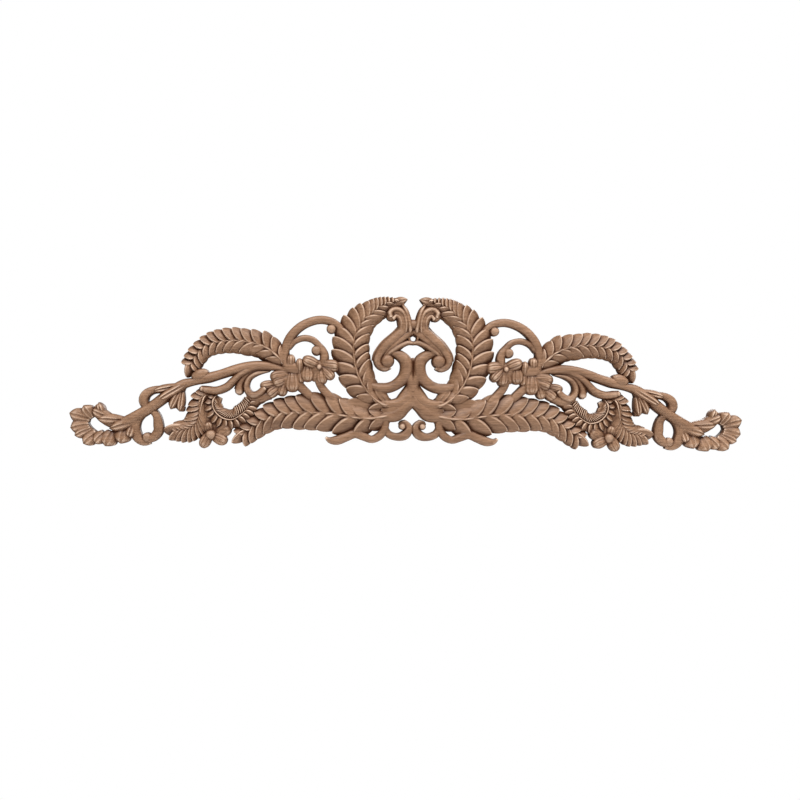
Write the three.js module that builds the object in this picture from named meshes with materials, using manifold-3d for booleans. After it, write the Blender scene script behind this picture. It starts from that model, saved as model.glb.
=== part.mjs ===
// Openwork carved wooden moulding: two mirrored halves of scrolls, fronds, stems and petals, carved as one piece.
// Millimetres, +Z up. The flat back lies in y = 0 and the carving faces -Y. The mirror axis is x = 0.
import * as THREE from "three";
import { mergeVertices } from "three/addons/utils/BufferGeometryUtils.js";
import Module from "manifold-3d";

// Driving dimensions
const mouldingLength = 600; // tip to tip
const wallHeight = 6; // upright edge of the openwork, from the flat back to the carving
const leafRise = 3.6; // each rise is the height of a crown above that edge
const midribRise = 5.1;
const featherRise = 3;
const acanthusRise = 4.6;
const bedRise = 1;
const footRise = 3.4;
const tendrilRise = 4;
const stemRise = 5.7;
const scrollRise = 7;
const crestRise = 8;
const petalRise = 6.6;
const leafPetalRise = 4.8;
const beadRise = 4.6;

// The layout below is drawn for this length, in millimetres, for the half left of the mirror axis.
// Every plan measure follows the moulding's length, as the carving's proportions do.
const drawnLength = 600;
const plan = mouldingLength / drawnLength;

// Strands: [x, z, half width] along each centre line. A round end is finished as a half disc.
const strands = {
  scrollStem: {
    rise: scrollRise,
    path: [[-6, 64.5, 7], [-13.5, 54, 8.6], [-23.5, 46, 8], [-31.5, 39, 5.4], [-32.5, 32, 4.6], [-27, 28, 3.6],
      [-20.5, 28.5, 3]],
  },
  scrollBand: {
    rise: scrollRise,
    path: [[-28, 40, 2.4], [-21, 43, 3], [-13, 41, 4.8], [-6.5, 35.5, 6], [-5.5, 28, 6], [-8, 20, 5.7],
      [-15, 13.5, 4.8], [-23, 11, 4.4], [-30.5, 11.5, 4.8]],
  },
  crest: {
    rise: crestRise,
    roundEnd: true,
    path: [[-7.5, 61, 4.8], [-9.5, 71, 4], [-11.5, 78, 3.8], [-16.5, 80.5, 3.2], [-21, 77, 4]],
  },
  crestOuter: { rise: scrollRise, path: [[-2.5, 60, 4], [-5, 72, 3.2], [-7.5, 80, 2.8], [-10.5, 84.5, 1.6]] },
  crestBridge: { rise: stemRise, path: [[-8, 67, 5], [0.5, 67, 5]] },
  crestWeb: { rise: footRise, path: [[-10, 57, 4], [0.5, 60.5, 2.8]] },
  crestYoke: { rise: footRise, path: [[-13, 55, 5], [-7, 53.5, 4.2], [-2.5, 50.8, 1.6], [0.5, 50.6, 1.5]] },
  saddle: { rise: stemRise, path: [[0.5, 40, 2], [-3, 30, 4], [-3, 20, 4.5], [0.5, 8, 5]] },
  frondStem: { rise: stemRise, path: [[0.5, 14.5, 4.8], [-2.5, 5.5, 5.3], [-9.5, -1.5, 5.4], [-18.5, -4, 4.9],
    [-28, -1, 7]] },
  frondBed: { rise: bedRise, path: [[-34, -6, 6], [-48, -4, 6], [-60, -6, 5]] },
  lowerStem: { rise: stemRise, path: [[0.5, 2, 6.6], [-7, -5.5, 6.2], [-14, -12.5, 6.8], [-23.5, -14.5, 6.4]] },
  footWave: {
    rise: footRise,
    path: [[-77, -34, 1], [-73.5, -36.5, 2.7], [-67, -36.5, 4.2], [-59, -33.5, 4.1], [-51, -30.5, 4],
      [-43, -33, 3.8], [-36, -35.5, 3.3], [-29.5, -32.5, 3.7], [-25, -26.5, 3.5], [-23.5, -18, 3.4]],
  },
  footScroll: {
    rise: footRise,
    roundEnd: true,
    path: [[-24.5, -24.5, 2.8], [-21, -30.5, 3.4], [-13.5, -33, 3.5], [-6.2, -31, 4.4], [-3, -25, 3.6],
      [-7, -20, 2.5], [-10.4, -21, 2.1]],
  },
  arcOuter: {
    rise: tendrilRise,
    path: [[-113.5, 29, 3.2], [-114, 40.5, 3.8], [-111, 51.5, 4.1], [-104, 61, 4], [-94.5, 67.5, 3.8],
      [-83, 70.5, 3.6], [-72, 68.5, 3.6], [-63, 62.5, 3.2]],
  },
  arcInner: {
    rise: tendrilRise,
    path: [[-111, 45, 2.7], [-105.5, 51, 2.7], [-97.5, 54, 2.8], [-89.5, 52.5, 2.9], [-84, 47.5, 3.1],
      [-80, 42, 3.8], [-79, 35.5, 4.2], [-81.5, 30, 3]],
  },
  strutLeft: { rise: footRise, path: [[-103.5, 14, 4.5], [-97, 8, 4.2], [-91, 2, 4.2], [-87, -3, 3.6]] },
  strutRight: { rise: footRise, path: [[-84.5, 18.5, 3.6], [-82, 12, 3.6], [-77, 5.5, 4], [-69.5, -1, 4.2]] },
  mainStem: {
    rise: stemRise,
    path: [[-112.5, 24.5, 1.6], [-121, 27.5, 3.1], [-133.5, 29, 4.2], [-146, 28, 4.4], [-157.5, 25, 4.5],
      [-169.5, 21, 4.2], [-181, 17.5, 4.5], [-192, 14.5, 3.4], [-202, 12, 4.2], [-210.5, 6.5, 4.9],
      [-219, 0, 4.9], [-228, -7, 4.7], [-237, -13, 4.7], [-246, -18.5, 4.9], [-254.5, -23, 4.9]],
  },
  branchLong: {
    rise: tendrilRise,
    roundEnd: true,
    path: [[-144, 24.5, 3.1], [-152, 19.5, 3.3], [-158, 13, 3.5], [-164, 7.5, 3.6],
      [-172, 4.5, 3.8], [-180.5, 5.5, 3.8], [-186, 6.5, 3]],
  },
  branchLobe: {
    rise: tendrilRise,
    roundEnd: true,
    path: [[-141.5, 22, 3.1], [-148, 16, 3.3], [-151.5, 9.5, 3.8], [-152.8, 5.5, 4.2]],
  },
  branchHook: {
    rise: tendrilRise,
    path: [[-139.5, 23, 2.6], [-146, 18, 2.9], [-148.5, 11.5, 3.1], [-147, 5.5, 3.3],
      [-141.5, 2, 3.6], [-135.5, 4.5, 3.5], [-130.5, 10, 3.4]],
  },
  branchWeb: { rise: footRise, path: [[-156, 11.5, 4], [-149, 7, 4]] },
  featherNeck: { rise: featherRise, path: [[-147.5, 1.5, 3], [-140, 0, 4], [-133, 1.5, 4], [-126, 3, 4]] },
  loopSmall: {
    rise: tendrilRise,
    path: [[-211.5, 7.5, 3.2], [-220, 7, 3.5], [-229, 6, 3.5], [-235, 2.5, 4.2], [-237, -3, 4.5],
      [-234.5, -8.5, 4]],
  },
  loopLeft: {
    rise: tendrilRise,
    path: [[-237, -12.5, 4.4], [-243, -19, 5.1], [-244.5, -27, 4.9], [-242, -35, 4.7], [-236.5, -39.5, 3.5],
      [-230.5, -39, 2.4]],
  },
  loopRight: {
    rise: tendrilRise,
    path: [[-230, -10.5, 3.2], [-225.5, -16.5, 3.6], [-224, -24, 4.5], [-224, -30, 4.4], [-228, -35, 4],
      [-233, -37, 3.6]],
  },
  hangLobe: { rise: footRise, roundEnd: true, path: [[-203.5, 10, 3.4], [-208, 2, 5.4], [-210.5, -4.8, 5.2]] },
  hangLobeSmall: { rise: featherRise, roundEnd: true, path: [[-208, 1, 3], [-206.5, -6, 3.9], [-204, -9.5, 3.4]] },
  tipUpper: {
    rise: acanthusRise,
    roundEnd: true,
    path: [[-243, -20, 5], [-254.5, -24.8, 6], [-265, -23.5, 5.8], [-272.5, -19, 6], [-276, -12.5, 6],
      [-275.6, -9, 5]],
  },
  tipLower: {
    rise: acanthusRise,
    path: [[-245, -28, 3.2], [-253.5, -30.5, 4.5], [-264, -34.5, 4.6], [-275, -36, 4.8], [-284.5, -31.5, 6],
      [-289.5, -24, 7], [-288, -16.5, 6.4], [-281.5, -12.5, 3.6]],
  },
};

// Leaf-shaped lobes of the acanthus at the tip, from base to tip. The bend is a share of the lobe's length.
const tipLobes = {
  outer: { base: [-288, -21], tip: [-301, -16], halfWidth: 4.4, bend: -0.12 },
  lower: { base: [-285.5, -27.5], tip: [-298, -28.5], halfWidth: 5.4, bend: 0.1 },
  under: { base: [-275, -34], tip: [-285.5, -41], halfWidth: 4.7, bend: 0.18 },
  middle: { base: [-260.5, -33], tip: [-269.5, -42], halfWidth: 4.9, bend: 0.15 },
  inner: { base: [-252.5, -30.5], tip: [-257, -39.5], halfWidth: 5.4, bend: 0.15 },
  fold: { base: [-285, -15], tip: [-294, -15], halfWidth: 4.5, bend: 0.1 },
};

// Domed petals, buds and beads: centre, half length and half width, and the turn of the long axis in degrees.
const domes = {
  bigPetal: { rise: petalRise, at: [-106.5, 14.5], half: [9, 7.8], turn: 90 },
  leftPetal: { rise: petalRise, at: [-119.5, 18], half: [8.3, 7.6], turn: 20 },
  midPetal: { rise: petalRise, at: [-93, 22], half: [7.4, 6.5], turn: 90 },
  topPetal: { rise: leafPetalRise, at: [-100.5, 28.5], half: [6.8, 4.4], turn: 90 },
  budPetal: { rise: leafPetalRise, at: [-108, 33.5], half: [6, 4.4], turn: 90 },
  neckPetal: { rise: leafPetalRise, at: [-107.5, 26.5], half: [6.4, 5.8], turn: 0 },
  sidePetal: { rise: leafPetalRise, at: [-129, 11.5], half: [5.8, 4.2], turn: 35 },
  lowPetal: { rise: leafPetalRise, at: [-123.5, 5.5], half: [6.7, 5.4], turn: 0 },
  lowPetalRight: { rise: leafPetalRise, at: [-114.5, 7], half: [6.4, 5.4], turn: 20 },
  lowPetalLeft: { rise: leafPetalRise, at: [-131.5, 0], half: [8.5, 4], turn: 4 },
  roseLeft: { rise: petalRise, at: [-91, 32.5], half: [7.2, 6.2], turn: 0 },
  roseDown: { rise: leafPetalRise, at: [-82.5, 21.5], half: [8.6, 5.4], turn: -80 },
  roseDownRight: { rise: leafPetalRise, at: [-79, 24], half: [7.5, 4.8], turn: -52 },
  roseRight: { rise: leafPetalRise, at: [-74, 28.5], half: [8, 5], turn: -20 },
  roseHeart: { rise: leafPetalRise, at: [-82.5, 30.5], half: [4.4, 4.4], turn: 0 },
  starLeft: { rise: leafPetalRise, at: [-183, -38], half: [7.6, 5], turn: -118 },
  starRight: { rise: leafPetalRise, at: [-170, -36.5], half: [8, 5.3], turn: -20 },
  starTop: { rise: featherRise, at: [-166, -29], half: [6.8, 5.6], turn: 60 },
  starHeart: { rise: petalRise, at: [-178, -32.5], half: [5.8, 5.4], turn: 0 },
  curlLeaf: { rise: stemRise, at: [-188, 20], half: [8.2, 5.6], turn: 18 },
  scrollEye: { rise: crestRise, at: [-24, 34.5], half: [7.2, 7.2], turn: 0 },
  beadOuter: { rise: beadRise, at: [-73, 62.5], half: [4.4, 4.4], turn: 0 },
  beadInner: { rise: beadRise, at: [-86, 43], half: [4.6, 4.6], turn: 0 },
  beadLoop: { rise: beadRise, at: [-233.5, -35.5], half: [4.5, 4.5], turn: 0 },
  footEye: { rise: beadRise, at: [-9, -23.5], half: [3.2, 3.2], turn: 0 },
};

// Fronds: a midrib with leaflets on both sides, seen in the direction that the midrib runs.
// Lengths, angles to the midrib and half widths are spread evenly from the first leaflet to the last.
const fronds = {
  uprightFrond: {
    rise: leafRise,
    midrib: [[-12, -3.5], [-24.5, -4.5], [-33, 0], [-41, 8], [-47, 17.5], [-51, 28], [-53, 39.5], [-53, 52],
      [-49.5, 64], [-43.5, 72.5], [-35.5, 79], [-27, 83.5], [-19.5, 87]],
    tip: { base: [-23.5, 86.5], tip: [-5.5, 91], halfWidth: 4.8, bend: 0.06 },
    left: { count: 15, from: 0.07, to: 0.95, crowding: 0.2, bend: -0.06,
      lengths: [19, 21, 24, 27, 26, 22.5, 17, 11.5, 9.5, 7.5],
      angles: [10, 32, 42, 41, 36, 24, 24, 48, 66, 72],
      halfWidths: [5.4, 6.5, 6.9, 6.9, 6.3, 5.4, 4.4, 3.3] },
    right: { count: 12, from: 0.06, to: 0.9, crowding: 0.05, bend: 0.08,
      lengths: [17, 20, 22, 21.5, 19.5, 21, 23, 21.5, 18, 13],
      angles: [24, 36, 44, 50, 50, 46, 42, 40, 36, 30],
      halfWidths: [5, 6, 6.2, 6, 5.8, 5.2, 4.8, 4.4] },
  },
  lowerFrond: {
    rise: leafRise,
    midrib: [[-12, -13.5], [-24.5, -14.5], [-37, -16.5], [-50.5, -16], [-64, -14], [-77, -12.5], [-90.5, -12],
      [-104, -12], [-116, -13.5], [-127.5, -17.5], [-138, -23.5], [-146, -29.5]],
    tip: { base: [-141, -25.5], tip: [-159.5, -39], halfWidth: 5.4, bend: 0 },
    left: { count: 11, from: 0.06, to: 0.9, crowding: 0.12, bend: -0.04,
      lengths: [22, 28, 29, 27, 24, 21.5, 19.5, 17.5, 14],
      angles: [30, 33, 34, 35, 36, 37, 38, 40, 42],
      halfWidths: [6.6, 7.5, 7.5, 7.1, 6.4, 5.4, 4.5] },
    right: { count: 12, from: 0.08, to: 0.92, crowding: 0.12, bend: -0.06,
      lengths: [17, 23.5, 28, 28, 24, 20.5, 16, 13, 12],
      angles: [26, 38, 38, 33, 32, 34, 38, 40, 44],
      halfWidths: [6.2, 7.1, 7.5, 7.5, 7, 6.1, 4.9, 4] },
  },
  archFrond: {
    rise: leafRise,
    midrib: [[-111.5, 29], [-119.5, 36.5], [-126.5, 42.5], [-134, 46.5], [-143.5, 49], [-153.5, 50.5],
      [-163, 50.5], [-172.5, 49.5], [-181.5, 46.5], [-188, 41.5], [-193, 35], [-196.5, 27.5]],
    tip: { base: [-195, 32], tip: [-199.5, 17.5], halfWidth: 5, bend: 0 },
    left: { count: 11, from: 0.03, to: 0.92, crowding: 0.1, bend: -0.04,
      lengths: [18, 19.5, 19.5, 18, 16, 14.5, 13.5, 13, 11],
      angles: [32, 40, 38, 36, 40, 45, 48, 50, 50],
      halfWidths: [5.5, 6, 6, 5.4, 5, 4.5, 4.2] },
    right: { count: 12, from: 0.03, to: 0.92, crowding: 0.1, bend: -0.06,
      lengths: [17, 20, 17, 15.5, 14, 12.5, 10.5, 9, 9.5, 10],
      angles: [34, 32, 34, 42, 48, 50, 50, 58, 66, 66],
      halfWidths: [5.8, 6.2, 6.2, 5.8, 5.3, 4.7, 4.5, 4.5] },
  },
  featherLong: {
    rise: featherRise,
    midrib: [[-180, 4], [-184, 0.5], [-186.5, -7], [-187.5, -14.5], [-190, -21.5], [-196, -27], [-206, -29.5]],
    tip: { base: [-200, -28], tip: [-220, -29], halfWidth: 6, bend: 0 },
    left: { count: 5, from: 0.2, to: 0.95, crowding: 0, bend: -0.1,
      lengths: [9, 12, 14, 14, 10],
      angles: [40, 48, 54, 58, 50],
      halfWidths: [5.4, 5.4, 5.4, 5] },
    right: { count: 6, from: 0.02, to: 0.92, crowding: 0, bend: -0.08,
      lengths: [11.5, 13, 14.5, 14.5, 13.5, 12.5, 9],
      angles: [50, 58, 62, 62, 60, 52, 40],
      halfWidths: [5, 5.2, 5.2, 5, 5] },
  },
  featherRound: {
    rise: featherRise,
    midrib: [[-173, 3.5], [-176, -1.5], [-176.5, -6.5], [-174, -12.5], [-168, -17.5], [-160, -19],
      [-153, -15.5], [-146.5, -9.5], [-143, -3], [-138.5, 1]],
    left: { count: 6, from: 0.1, to: 0.86, crowding: 0, bend: -0.08,
      lengths: [7, 11, 12.5, 12, 11, 8],
      angles: [50, 58, 62, 62, 60, 56],
      halfWidths: [4.4, 4.8, 4.8, 4.4] },
    right: { count: 8, from: 0.05, to: 0.93, crowding: 0, bend: -0.1,
      lengths: [8, 9, 9, 8.5, 8, 8, 9],
      angles: [60, 66, 70, 66, 60, 54, 50],
      halfWidths: [4.6, 4.6, 4.5, 4.4] },
  },
};

// How finely the curved forms are faceted
const facetLength = 30; // a station for this run of a path, or for this turn in degrees, or shares of both
const facetTurn = 50;
const pathSamples = 120;
const endSteps = 2; // facets in a quarter turn of a round end
const leafStations = [0, 0.55]; // shares of a leaf's length, before its tip
const largeDome = { from: 7.3, sides: 7, ring: { share: 0.68, lift: 0.7 } }; // the ring is between rim and top
const smallDome = { sides: 6 };
const valleyShare = 0.5; // where the valley between two leaflets is set, as a share of the first one's length
const valleyRise = 0.25; // its height, as a share of the leaflets' rise
const endNotchShare = 0.5; // where the outline starts on the first leaflet and stops on the last
const shoulderShare = 0.6; // the outline's bulge, on the way from the notch before a leaflet to its tip
const notchSteps = 24;

const wasm = await Module();
wasm.setup();

// A number list read at a share from 0 to 1, with straight runs between its entries.
function spread(list, share) {
  const place = share * (list.length - 1);
  const index = Math.min(Math.floor(place), list.length - 2);
  return THREE.MathUtils.lerp(list[index], list[index + 1], place - index);
}

function solidOf(vertices, triangles) {
  const vertProperties = new Float32Array(vertices.flat());
  const triVerts = new Uint32Array(triangles.flat());
  return new wasm.Manifold(new wasm.Mesh({ numProp: 3, vertProperties, triVerts }));
}

// A carved form as a closed solid. Its top is vertices [x, z, height] with triangles that run anticlockwise
// from the front. Upright walls go round its edge, down to a copy of the top in the stock behind the back.
// The side is 1 as drawn and -1 for the mirrored half.
function carvedForm(top, triangles, edge, side) {
  const vertices = [
    ...top.map(([x, z, height]) => [x * plan * side, -height, z * plan]),
    ...top.map(([x, z]) => [x * plan * side, wallHeight, z * plan]),
  ];
  const under = top.length;
  const faces = [...triangles, ...triangles.map(([a, b, c]) => [a + under, c + under, b + under])];
  edge.forEach((a, i) => {
    const b = edge[(i + 1) % edge.length];
    faces.push([b, a, a + under], [b, a + under, b + under]);
  });
  return solidOf(vertices, side > 0 ? faces : faces.map(([a, b, c]) => [a, c, b]));
}

// A form swept along stations, each a list of [x, z, height] from its right edge to its left edge.
// A last point closes it to a tip.
function sweptForm(stations, tip, side) {
  const columns = stations[0].length;
  const top = stations.flat();
  const triangles = [];
  for (let i = 0; i < top.length - columns; i++) {
    if (i % columns === columns - 1) continue;
    triangles.push([i, i + columns, i + 1], [i + columns, i + columns + 1, i + 1]);
  }
  const last = top.length - columns;
  const rightEdge = stations.map((_, i) => i * columns);
  const leftEdge = stations.map((_, i) => i * columns + columns - 1).reverse();
  const startEdge = Array.from({ length: columns - 2 }, (_, i) => columns - 2 - i);
  let endEdge = Array.from({ length: columns - 2 }, (_, i) => last + 1 + i);
  if (tip) {
    const point = top.push(tip) - 1;
    for (let i = 0; i < columns - 1; i++) triangles.push([last + i, point, last + i + 1]);
    endEdge = [point];
  }
  return carvedForm(top, triangles, [...rightEdge, ...endEdge, ...leftEdge, ...startEdge], side);
}

// The smooth path of a strand or a midrib, with its half width carried in z.
function pathOf(points) {
  return new THREE.CatmullRomCurve3(points.map(([x, z, halfWidth = 0]) => new THREE.Vector3(x, z, halfWidth)));
}

// A place beside a path: the share runs from -1 at the right edge to 1 at the left edge.
function beside(point, tangent, halfWidth, share, height) {
  const offset = (halfWidth * share) / Math.hypot(tangent.x, tangent.y);
  return [point.x - tangent.y * offset, point.y + tangent.x * offset, height];
}

function section(point, tangent, halfWidth, crownHeight) {
  return [
    beside(point, tangent, halfWidth, -1, wallHeight),
    beside(point, tangent, halfWidth, 0, crownHeight),
    beside(point, tangent, halfWidth, 1, wallHeight),
  ];
}

// Stations along a path, as shares of its length, closer together where it turns more.
function stationsAlong(curve, fewest) {
  const reached = [0];
  const stretch = curve.getLength() / pathSamples / facetLength;
  for (let i = 1; i <= pathSamples; i++) {
    const [before, after] = [(i - 1) / pathSamples, i / pathSamples].map((share) => curve.getTangentAt(share));
    before.z = after.z = 0;
    const turn = THREE.MathUtils.radToDeg(before.angleTo(after)) / facetTurn;
    reached.push(reached.at(-1) + stretch + turn);
  }
  const count = Math.max(fewest, Math.round(reached.at(-1)));
  return Array.from({ length: count + 1 }, (_, i) => {
    const wanted = (reached.at(-1) * i) / count;
    return i === count ? 1 : reached.findIndex((value) => value >= wanted) / pathSamples;
  });
}

function strandForm({ path, rise, roundEnd }, side) {
  const curve = pathOf(path);
  const stations = stationsAlong(curve, 2).map((share) => {
    const point = curve.getPointAt(share);
    return section(point, curve.getTangentAt(share), point.z, wallHeight + rise);
  });
  if (!roundEnd) return sweptForm(stations, null, side);
  const end = curve.getPoint(1);
  const heading = new THREE.Vector2().copy(curve.getTangent(1)).normalize();
  const onward = (distance) => new THREE.Vector2().copy(end).addScaledVector(heading, distance);
  for (let i = 1; i < endSteps; i++) {
    const angle = (Math.PI / 2) * (i / endSteps);
    stations.push(section(onward(end.z * Math.sin(angle)), heading, end.z * Math.cos(angle),
      wallHeight + rise * Math.cos(angle)));
  }
  const tip = onward(end.z);
  return sweptForm(stations, [tip.x, tip.y, wallHeight], side);
}

// Half width of a leaf at a share of its length: broad below the middle and round at the tip.
function leafOutline(share) {
  const widest = 0.45;
  const baseWidth = 0.62;
  if (share < widest) return baseWidth + (1 - baseWidth) * Math.sin((Math.PI / 2) * (share / widest));
  return Math.cos((Math.PI / 2) * ((share - widest) / (1 - widest))) ** 0.6;
}

// A leaf's bent axis from base to tip. The bend is a share of its length.
function leafAxis(base, tip, bend) {
  const start = new THREE.Vector2(...base);
  const end = new THREE.Vector2(...tip);
  const span = end.clone().sub(start);
  const bow = new THREE.Vector2(-span.y, span.x).multiplyScalar(-2 * bend);
  return new THREE.QuadraticBezierCurve(start, start.clone().lerp(end, 0.5).add(bow), end);
}

function leafForm({ base, tip, halfWidth, bend }, rise, side) {
  const axis = leafAxis(base, tip, bend);
  const stations = leafStations.map((share) =>
    section(axis.getPoint(share), axis.getTangent(share), halfWidth * leafOutline(share),
      wallHeight + rise * (1 - share ** 3)));
  return sweptForm(stations, [...tip, wallHeight], side);
}

// The leaflets of one row, from the frond's root to its tip.
function leafletsOf(curve, row, turn) {
  return Array.from({ length: row.count }, (_, i) => {
    const share = i / (row.count - 1);
    const crowded = share * (1 + row.crowding) - row.crowding * share ** 4;
    const along = THREE.MathUtils.lerp(row.from, row.to, crowded);
    const root = curve.getPointAt(along);
    const heading = curve.getTangentAt(along);
    const angle = Math.atan2(heading.y, heading.x) + turn * THREE.MathUtils.degToRad(spread(row.angles, share));
    const reach = spread(row.lengths, share);
    const tip = [root.x + reach * Math.cos(angle), root.y + reach * Math.sin(angle)];
    return { axis: leafAxis([root.x, root.y], tip, row.bend * turn), halfWidth: spread(row.halfWidths, share) };
  });
}

function besideLeaflet({ axis, halfWidth }, share, across, height) {
  const width = halfWidth * leafOutline(share);
  return beside(axis.getPoint(share), axis.getTangent(share), width, across, height);
}

// Where a point lies on a leaflet: its share of the length, and its distance from the straight axis.
function placeOn({ axis }, [x, z]) {
  const span = axis.v2.clone().sub(axis.v0);
  const from = new THREE.Vector2(x, z).sub(axis.v0);
  return { share: from.dot(span) / span.lengthSq(), apart: Math.abs(from.cross(span)) / span.length() };
}

// The share of its length at which a leaflet's leading edge goes under or past its neighbour.
function notchShare(leaflet, next, turn) {
  for (let step = notchSteps - 1; step > notchSteps / 2; step--) {
    const { share, apart } = placeOn(next, besideLeaflet(leaflet, step / notchSteps, -turn, 0));
    if (share > 0 && share < 1 && apart < next.halfWidth * leafOutline(Math.max(share, 0))) return step / notchSteps;
  }
  return 0.5;
}

// The place midway between a leaflet's axis and its neighbour's.
function valleyBetween(leaflet, next, height) {
  const own = leaflet.axis.getPoint(valleyShare);
  const { share } = placeOn(next, own.toArray());
  const middle = own.lerp(next.axis.getPoint(Math.max(share, 0)), 0.5);
  return [middle.x, middle.y, height];
}

function alongOf(curve, [x, z]) {
  const point = new THREE.Vector2(x, z);
  const samples = curve.getSpacedPoints(pathSamples);
  const distances = samples.map((sample) => point.distanceToSquared(sample));
  return distances.indexOf(Math.min(...distances)) / pathSamples;
}

// One row of a frond as fans round its leaflets' crowns. It adds to the top and its triangles, and returns
// the inner chain that faces the midrib and the outer edge, both from the frond's root to its tip.
function addRow(curve, row, turn, rise, top, triangles) {
  const leaflets = leafletsOf(curve, row, turn);
  const add = (vertex) => top.push(vertex) - 1;
  const oriented = (a, b, c) => triangles.push(turn > 0 ? [a, c, b] : [a, b, c]);
  let notch = add(besideLeaflet(leaflets[0], endNotchShare, turn, wallHeight));
  let notchOn = endNotchShare;
  const chain = [notch];
  const edge = [notch];
  leaflets.forEach((leaflet, i) => {
    const next = leaflets[i + 1];
    const shoulder = add(besideLeaflet(leaflet, THREE.MathUtils.lerp(notchOn, 1, shoulderShare), turn, wallHeight));
    const tip = add([...leaflet.axis.getPoint(1).toArray(), wallHeight]);
    const notchPlace = besideLeaflet(leaflet, next ? notchShare(leaflet, next, turn) : endNotchShare, -turn,
      wallHeight);
    const nextNotch = add(notchPlace);
    const round = [...new Set([chain.at(-1), notch, shoulder, tip, nextNotch])];
    if (next) round.push(add(valleyBetween(leaflet, next, wallHeight + rise * valleyRise)));
    const middle = (axis) => round.reduce((sum, index) => sum + top[index][axis], 0) / round.length;
    const crown = add([middle(0), middle(1), wallHeight + rise]);
    for (let k = 0; k < round.length - 1; k++) oriented(crown, round[k], round[k + 1]);
    edge.push(shoulder, tip, nextNotch);
    chain.push(crown, round.at(-1));
    notch = nextNotch;
    notchOn = next ? THREE.MathUtils.clamp(placeOn(next, notchPlace).share, 0, 0.8) : 0;
  });
  let reached = 0;
  const stops = chain.map((index) => {
    reached = Math.max(reached, alongOf(curve, top[index]));
    return { along: reached, index };
  });
  return { chain: stops, edge };
}

// Fills the strip between the midrib and a row's inner chain.
function zip(ridge, chain, turn, triangles) {
  const oriented = (a, b, c) => triangles.push(turn > 0 ? [a, b, c] : [a, c, b]);
  let [r, c] = [0, 0];
  while (r < ridge.length - 1 || c < chain.length - 1) {
    const ridgeFirst = c === chain.length - 1
      || (r < ridge.length - 1 && ridge[r + 1].along < chain[c + 1].along);
    if (ridgeFirst) {
      oriented(ridge[r].index, ridge[r + 1].index, chain[c].index);
      r++;
    } else {
      oriented(ridge[r].index, chain[c + 1].index, chain[c].index);
      c++;
    }
  }
}

// A frond: both rows of leaflets in one form along the raised midrib, and the leaf at its tip.
function frondForms({ midrib, left, right, tip, rise }, side) {
  const curve = pathOf(midrib);
  const top = [];
  const triangles = [];
  const ridge = stationsAlong(curve, 2).map((along) => {
    const { x, y } = curve.getPointAt(along);
    return { along, index: top.push([x, y, wallHeight + midribRise]) - 1 };
  });
  const leftRow = addRow(curve, left, 1, rise, top, triangles);
  const rightRow = addRow(curve, right, -1, rise, top, triangles);
  zip(ridge, leftRow.chain, 1, triangles);
  zip(ridge, rightRow.chain, -1, triangles);
  const edge = [ridge[0].index, ...rightRow.edge, ridge.at(-1).index, ...leftRow.edge.reverse()];
  const forms = [carvedForm(top, triangles, edge, side)];
  if (tip) forms.push(leafForm(tip, rise, side));
  return forms;
}

// An elliptic dome over an upright wall.
function domeForm({ at, half, turn, rise }, side) {
  const { sides, ring } = half[0] > largeDome.from ? largeDome : smallDome;
  const angle = THREE.MathUtils.degToRad(turn);
  const round = (share, height) => Array.from({ length: sides }, (_, i) => {
    const around = (2 * Math.PI * (i + 0.5)) / sides;
    const place = new THREE.Vector2(half[0] * share * Math.cos(around), half[1] * share * Math.sin(around));
    place.rotateAround(new THREE.Vector2(), angle);
    return [at[0] + place.x, at[1] + place.y, height];
  });
  const top = round(1, wallHeight);
  if (ring) top.push(...round(ring.share, wallHeight + rise * ring.lift));
  const summit = top.push([...at, wallHeight + rise]) - 1;
  const edge = Array.from({ length: sides }, (_, i) => i);
  const inner = ring ? sides : 0;
  const triangles = edge.flatMap((i) => {
    const next = (i + 1) % sides;
    const fan = [[inner + i, inner + next, summit]];
    return ring ? [[i, next, inner + i], [next, inner + next, inner + i], ...fan] : fan;
  });
  return carvedForm(top, triangles, edge, side);
}

function halfOfCarving(side) {
  return [
    ...Object.values(strands).map((strand) => strandForm(strand, side)),
    ...Object.values(tipLobes).map((lobe) => leafForm(lobe, acanthusRise, side)),
    ...Object.values(domes).map((dome) => domeForm(dome, side)),
    ...Object.values(fronds).flatMap((frond) => frondForms(frond, side)),
  ];
}

// The stock behind the back, which is cut off flush so that the back is one flat face.
function stockBehind() {
  const box = new THREE.BoxGeometry(2 * mouldingLength, 2 * wallHeight, mouldingLength);
  box.deleteAttribute("normal");
  box.deleteAttribute("uv");
  const merged = mergeVertices(box.translate(0, wallHeight, 0));
  return new wasm.Manifold(new wasm.Mesh({
    numProp: 3,
    vertProperties: merged.getAttribute("position").array,
    triVerts: new Uint32Array(merged.index.array),
  }));
}

function meshOf(name, solid, material) {
  const { vertProperties, triVerts } = solid.getMesh();
  const geometry = new THREE.BufferGeometry();
  geometry.setAttribute("position", new THREE.BufferAttribute(vertProperties, 3));
  geometry.setIndex(new THREE.BufferAttribute(triVerts, 1));
  geometry.computeVertexNormals();
  const mesh = new THREE.Mesh(geometry, material);
  mesh.name = name;
  return mesh;
}

const carvedWood = new THREE.MeshStandardMaterial({ color: 0x93745f, roughness: 0.62, metalness: 0 });
const joined = wasm.Manifold.union([...halfOfCarving(1), ...halfOfCarving(-1)]);

const part = new THREE.Group();
part.add(meshOf("carved_moulding", joined.subtract(stockBehind()), carvedWood));

export default part;
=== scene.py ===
# Openwork carved wooden moulding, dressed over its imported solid.
# The carving is drawn flat, x along its length and y up, with its height in z, and is stood up at the end.
import math

import bmesh
import bpy
from mathutils import Matrix, Vector
from mathutils.bvhtree import BVHTree
from mathutils.geometry import delaunay_2d_cdt


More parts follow.
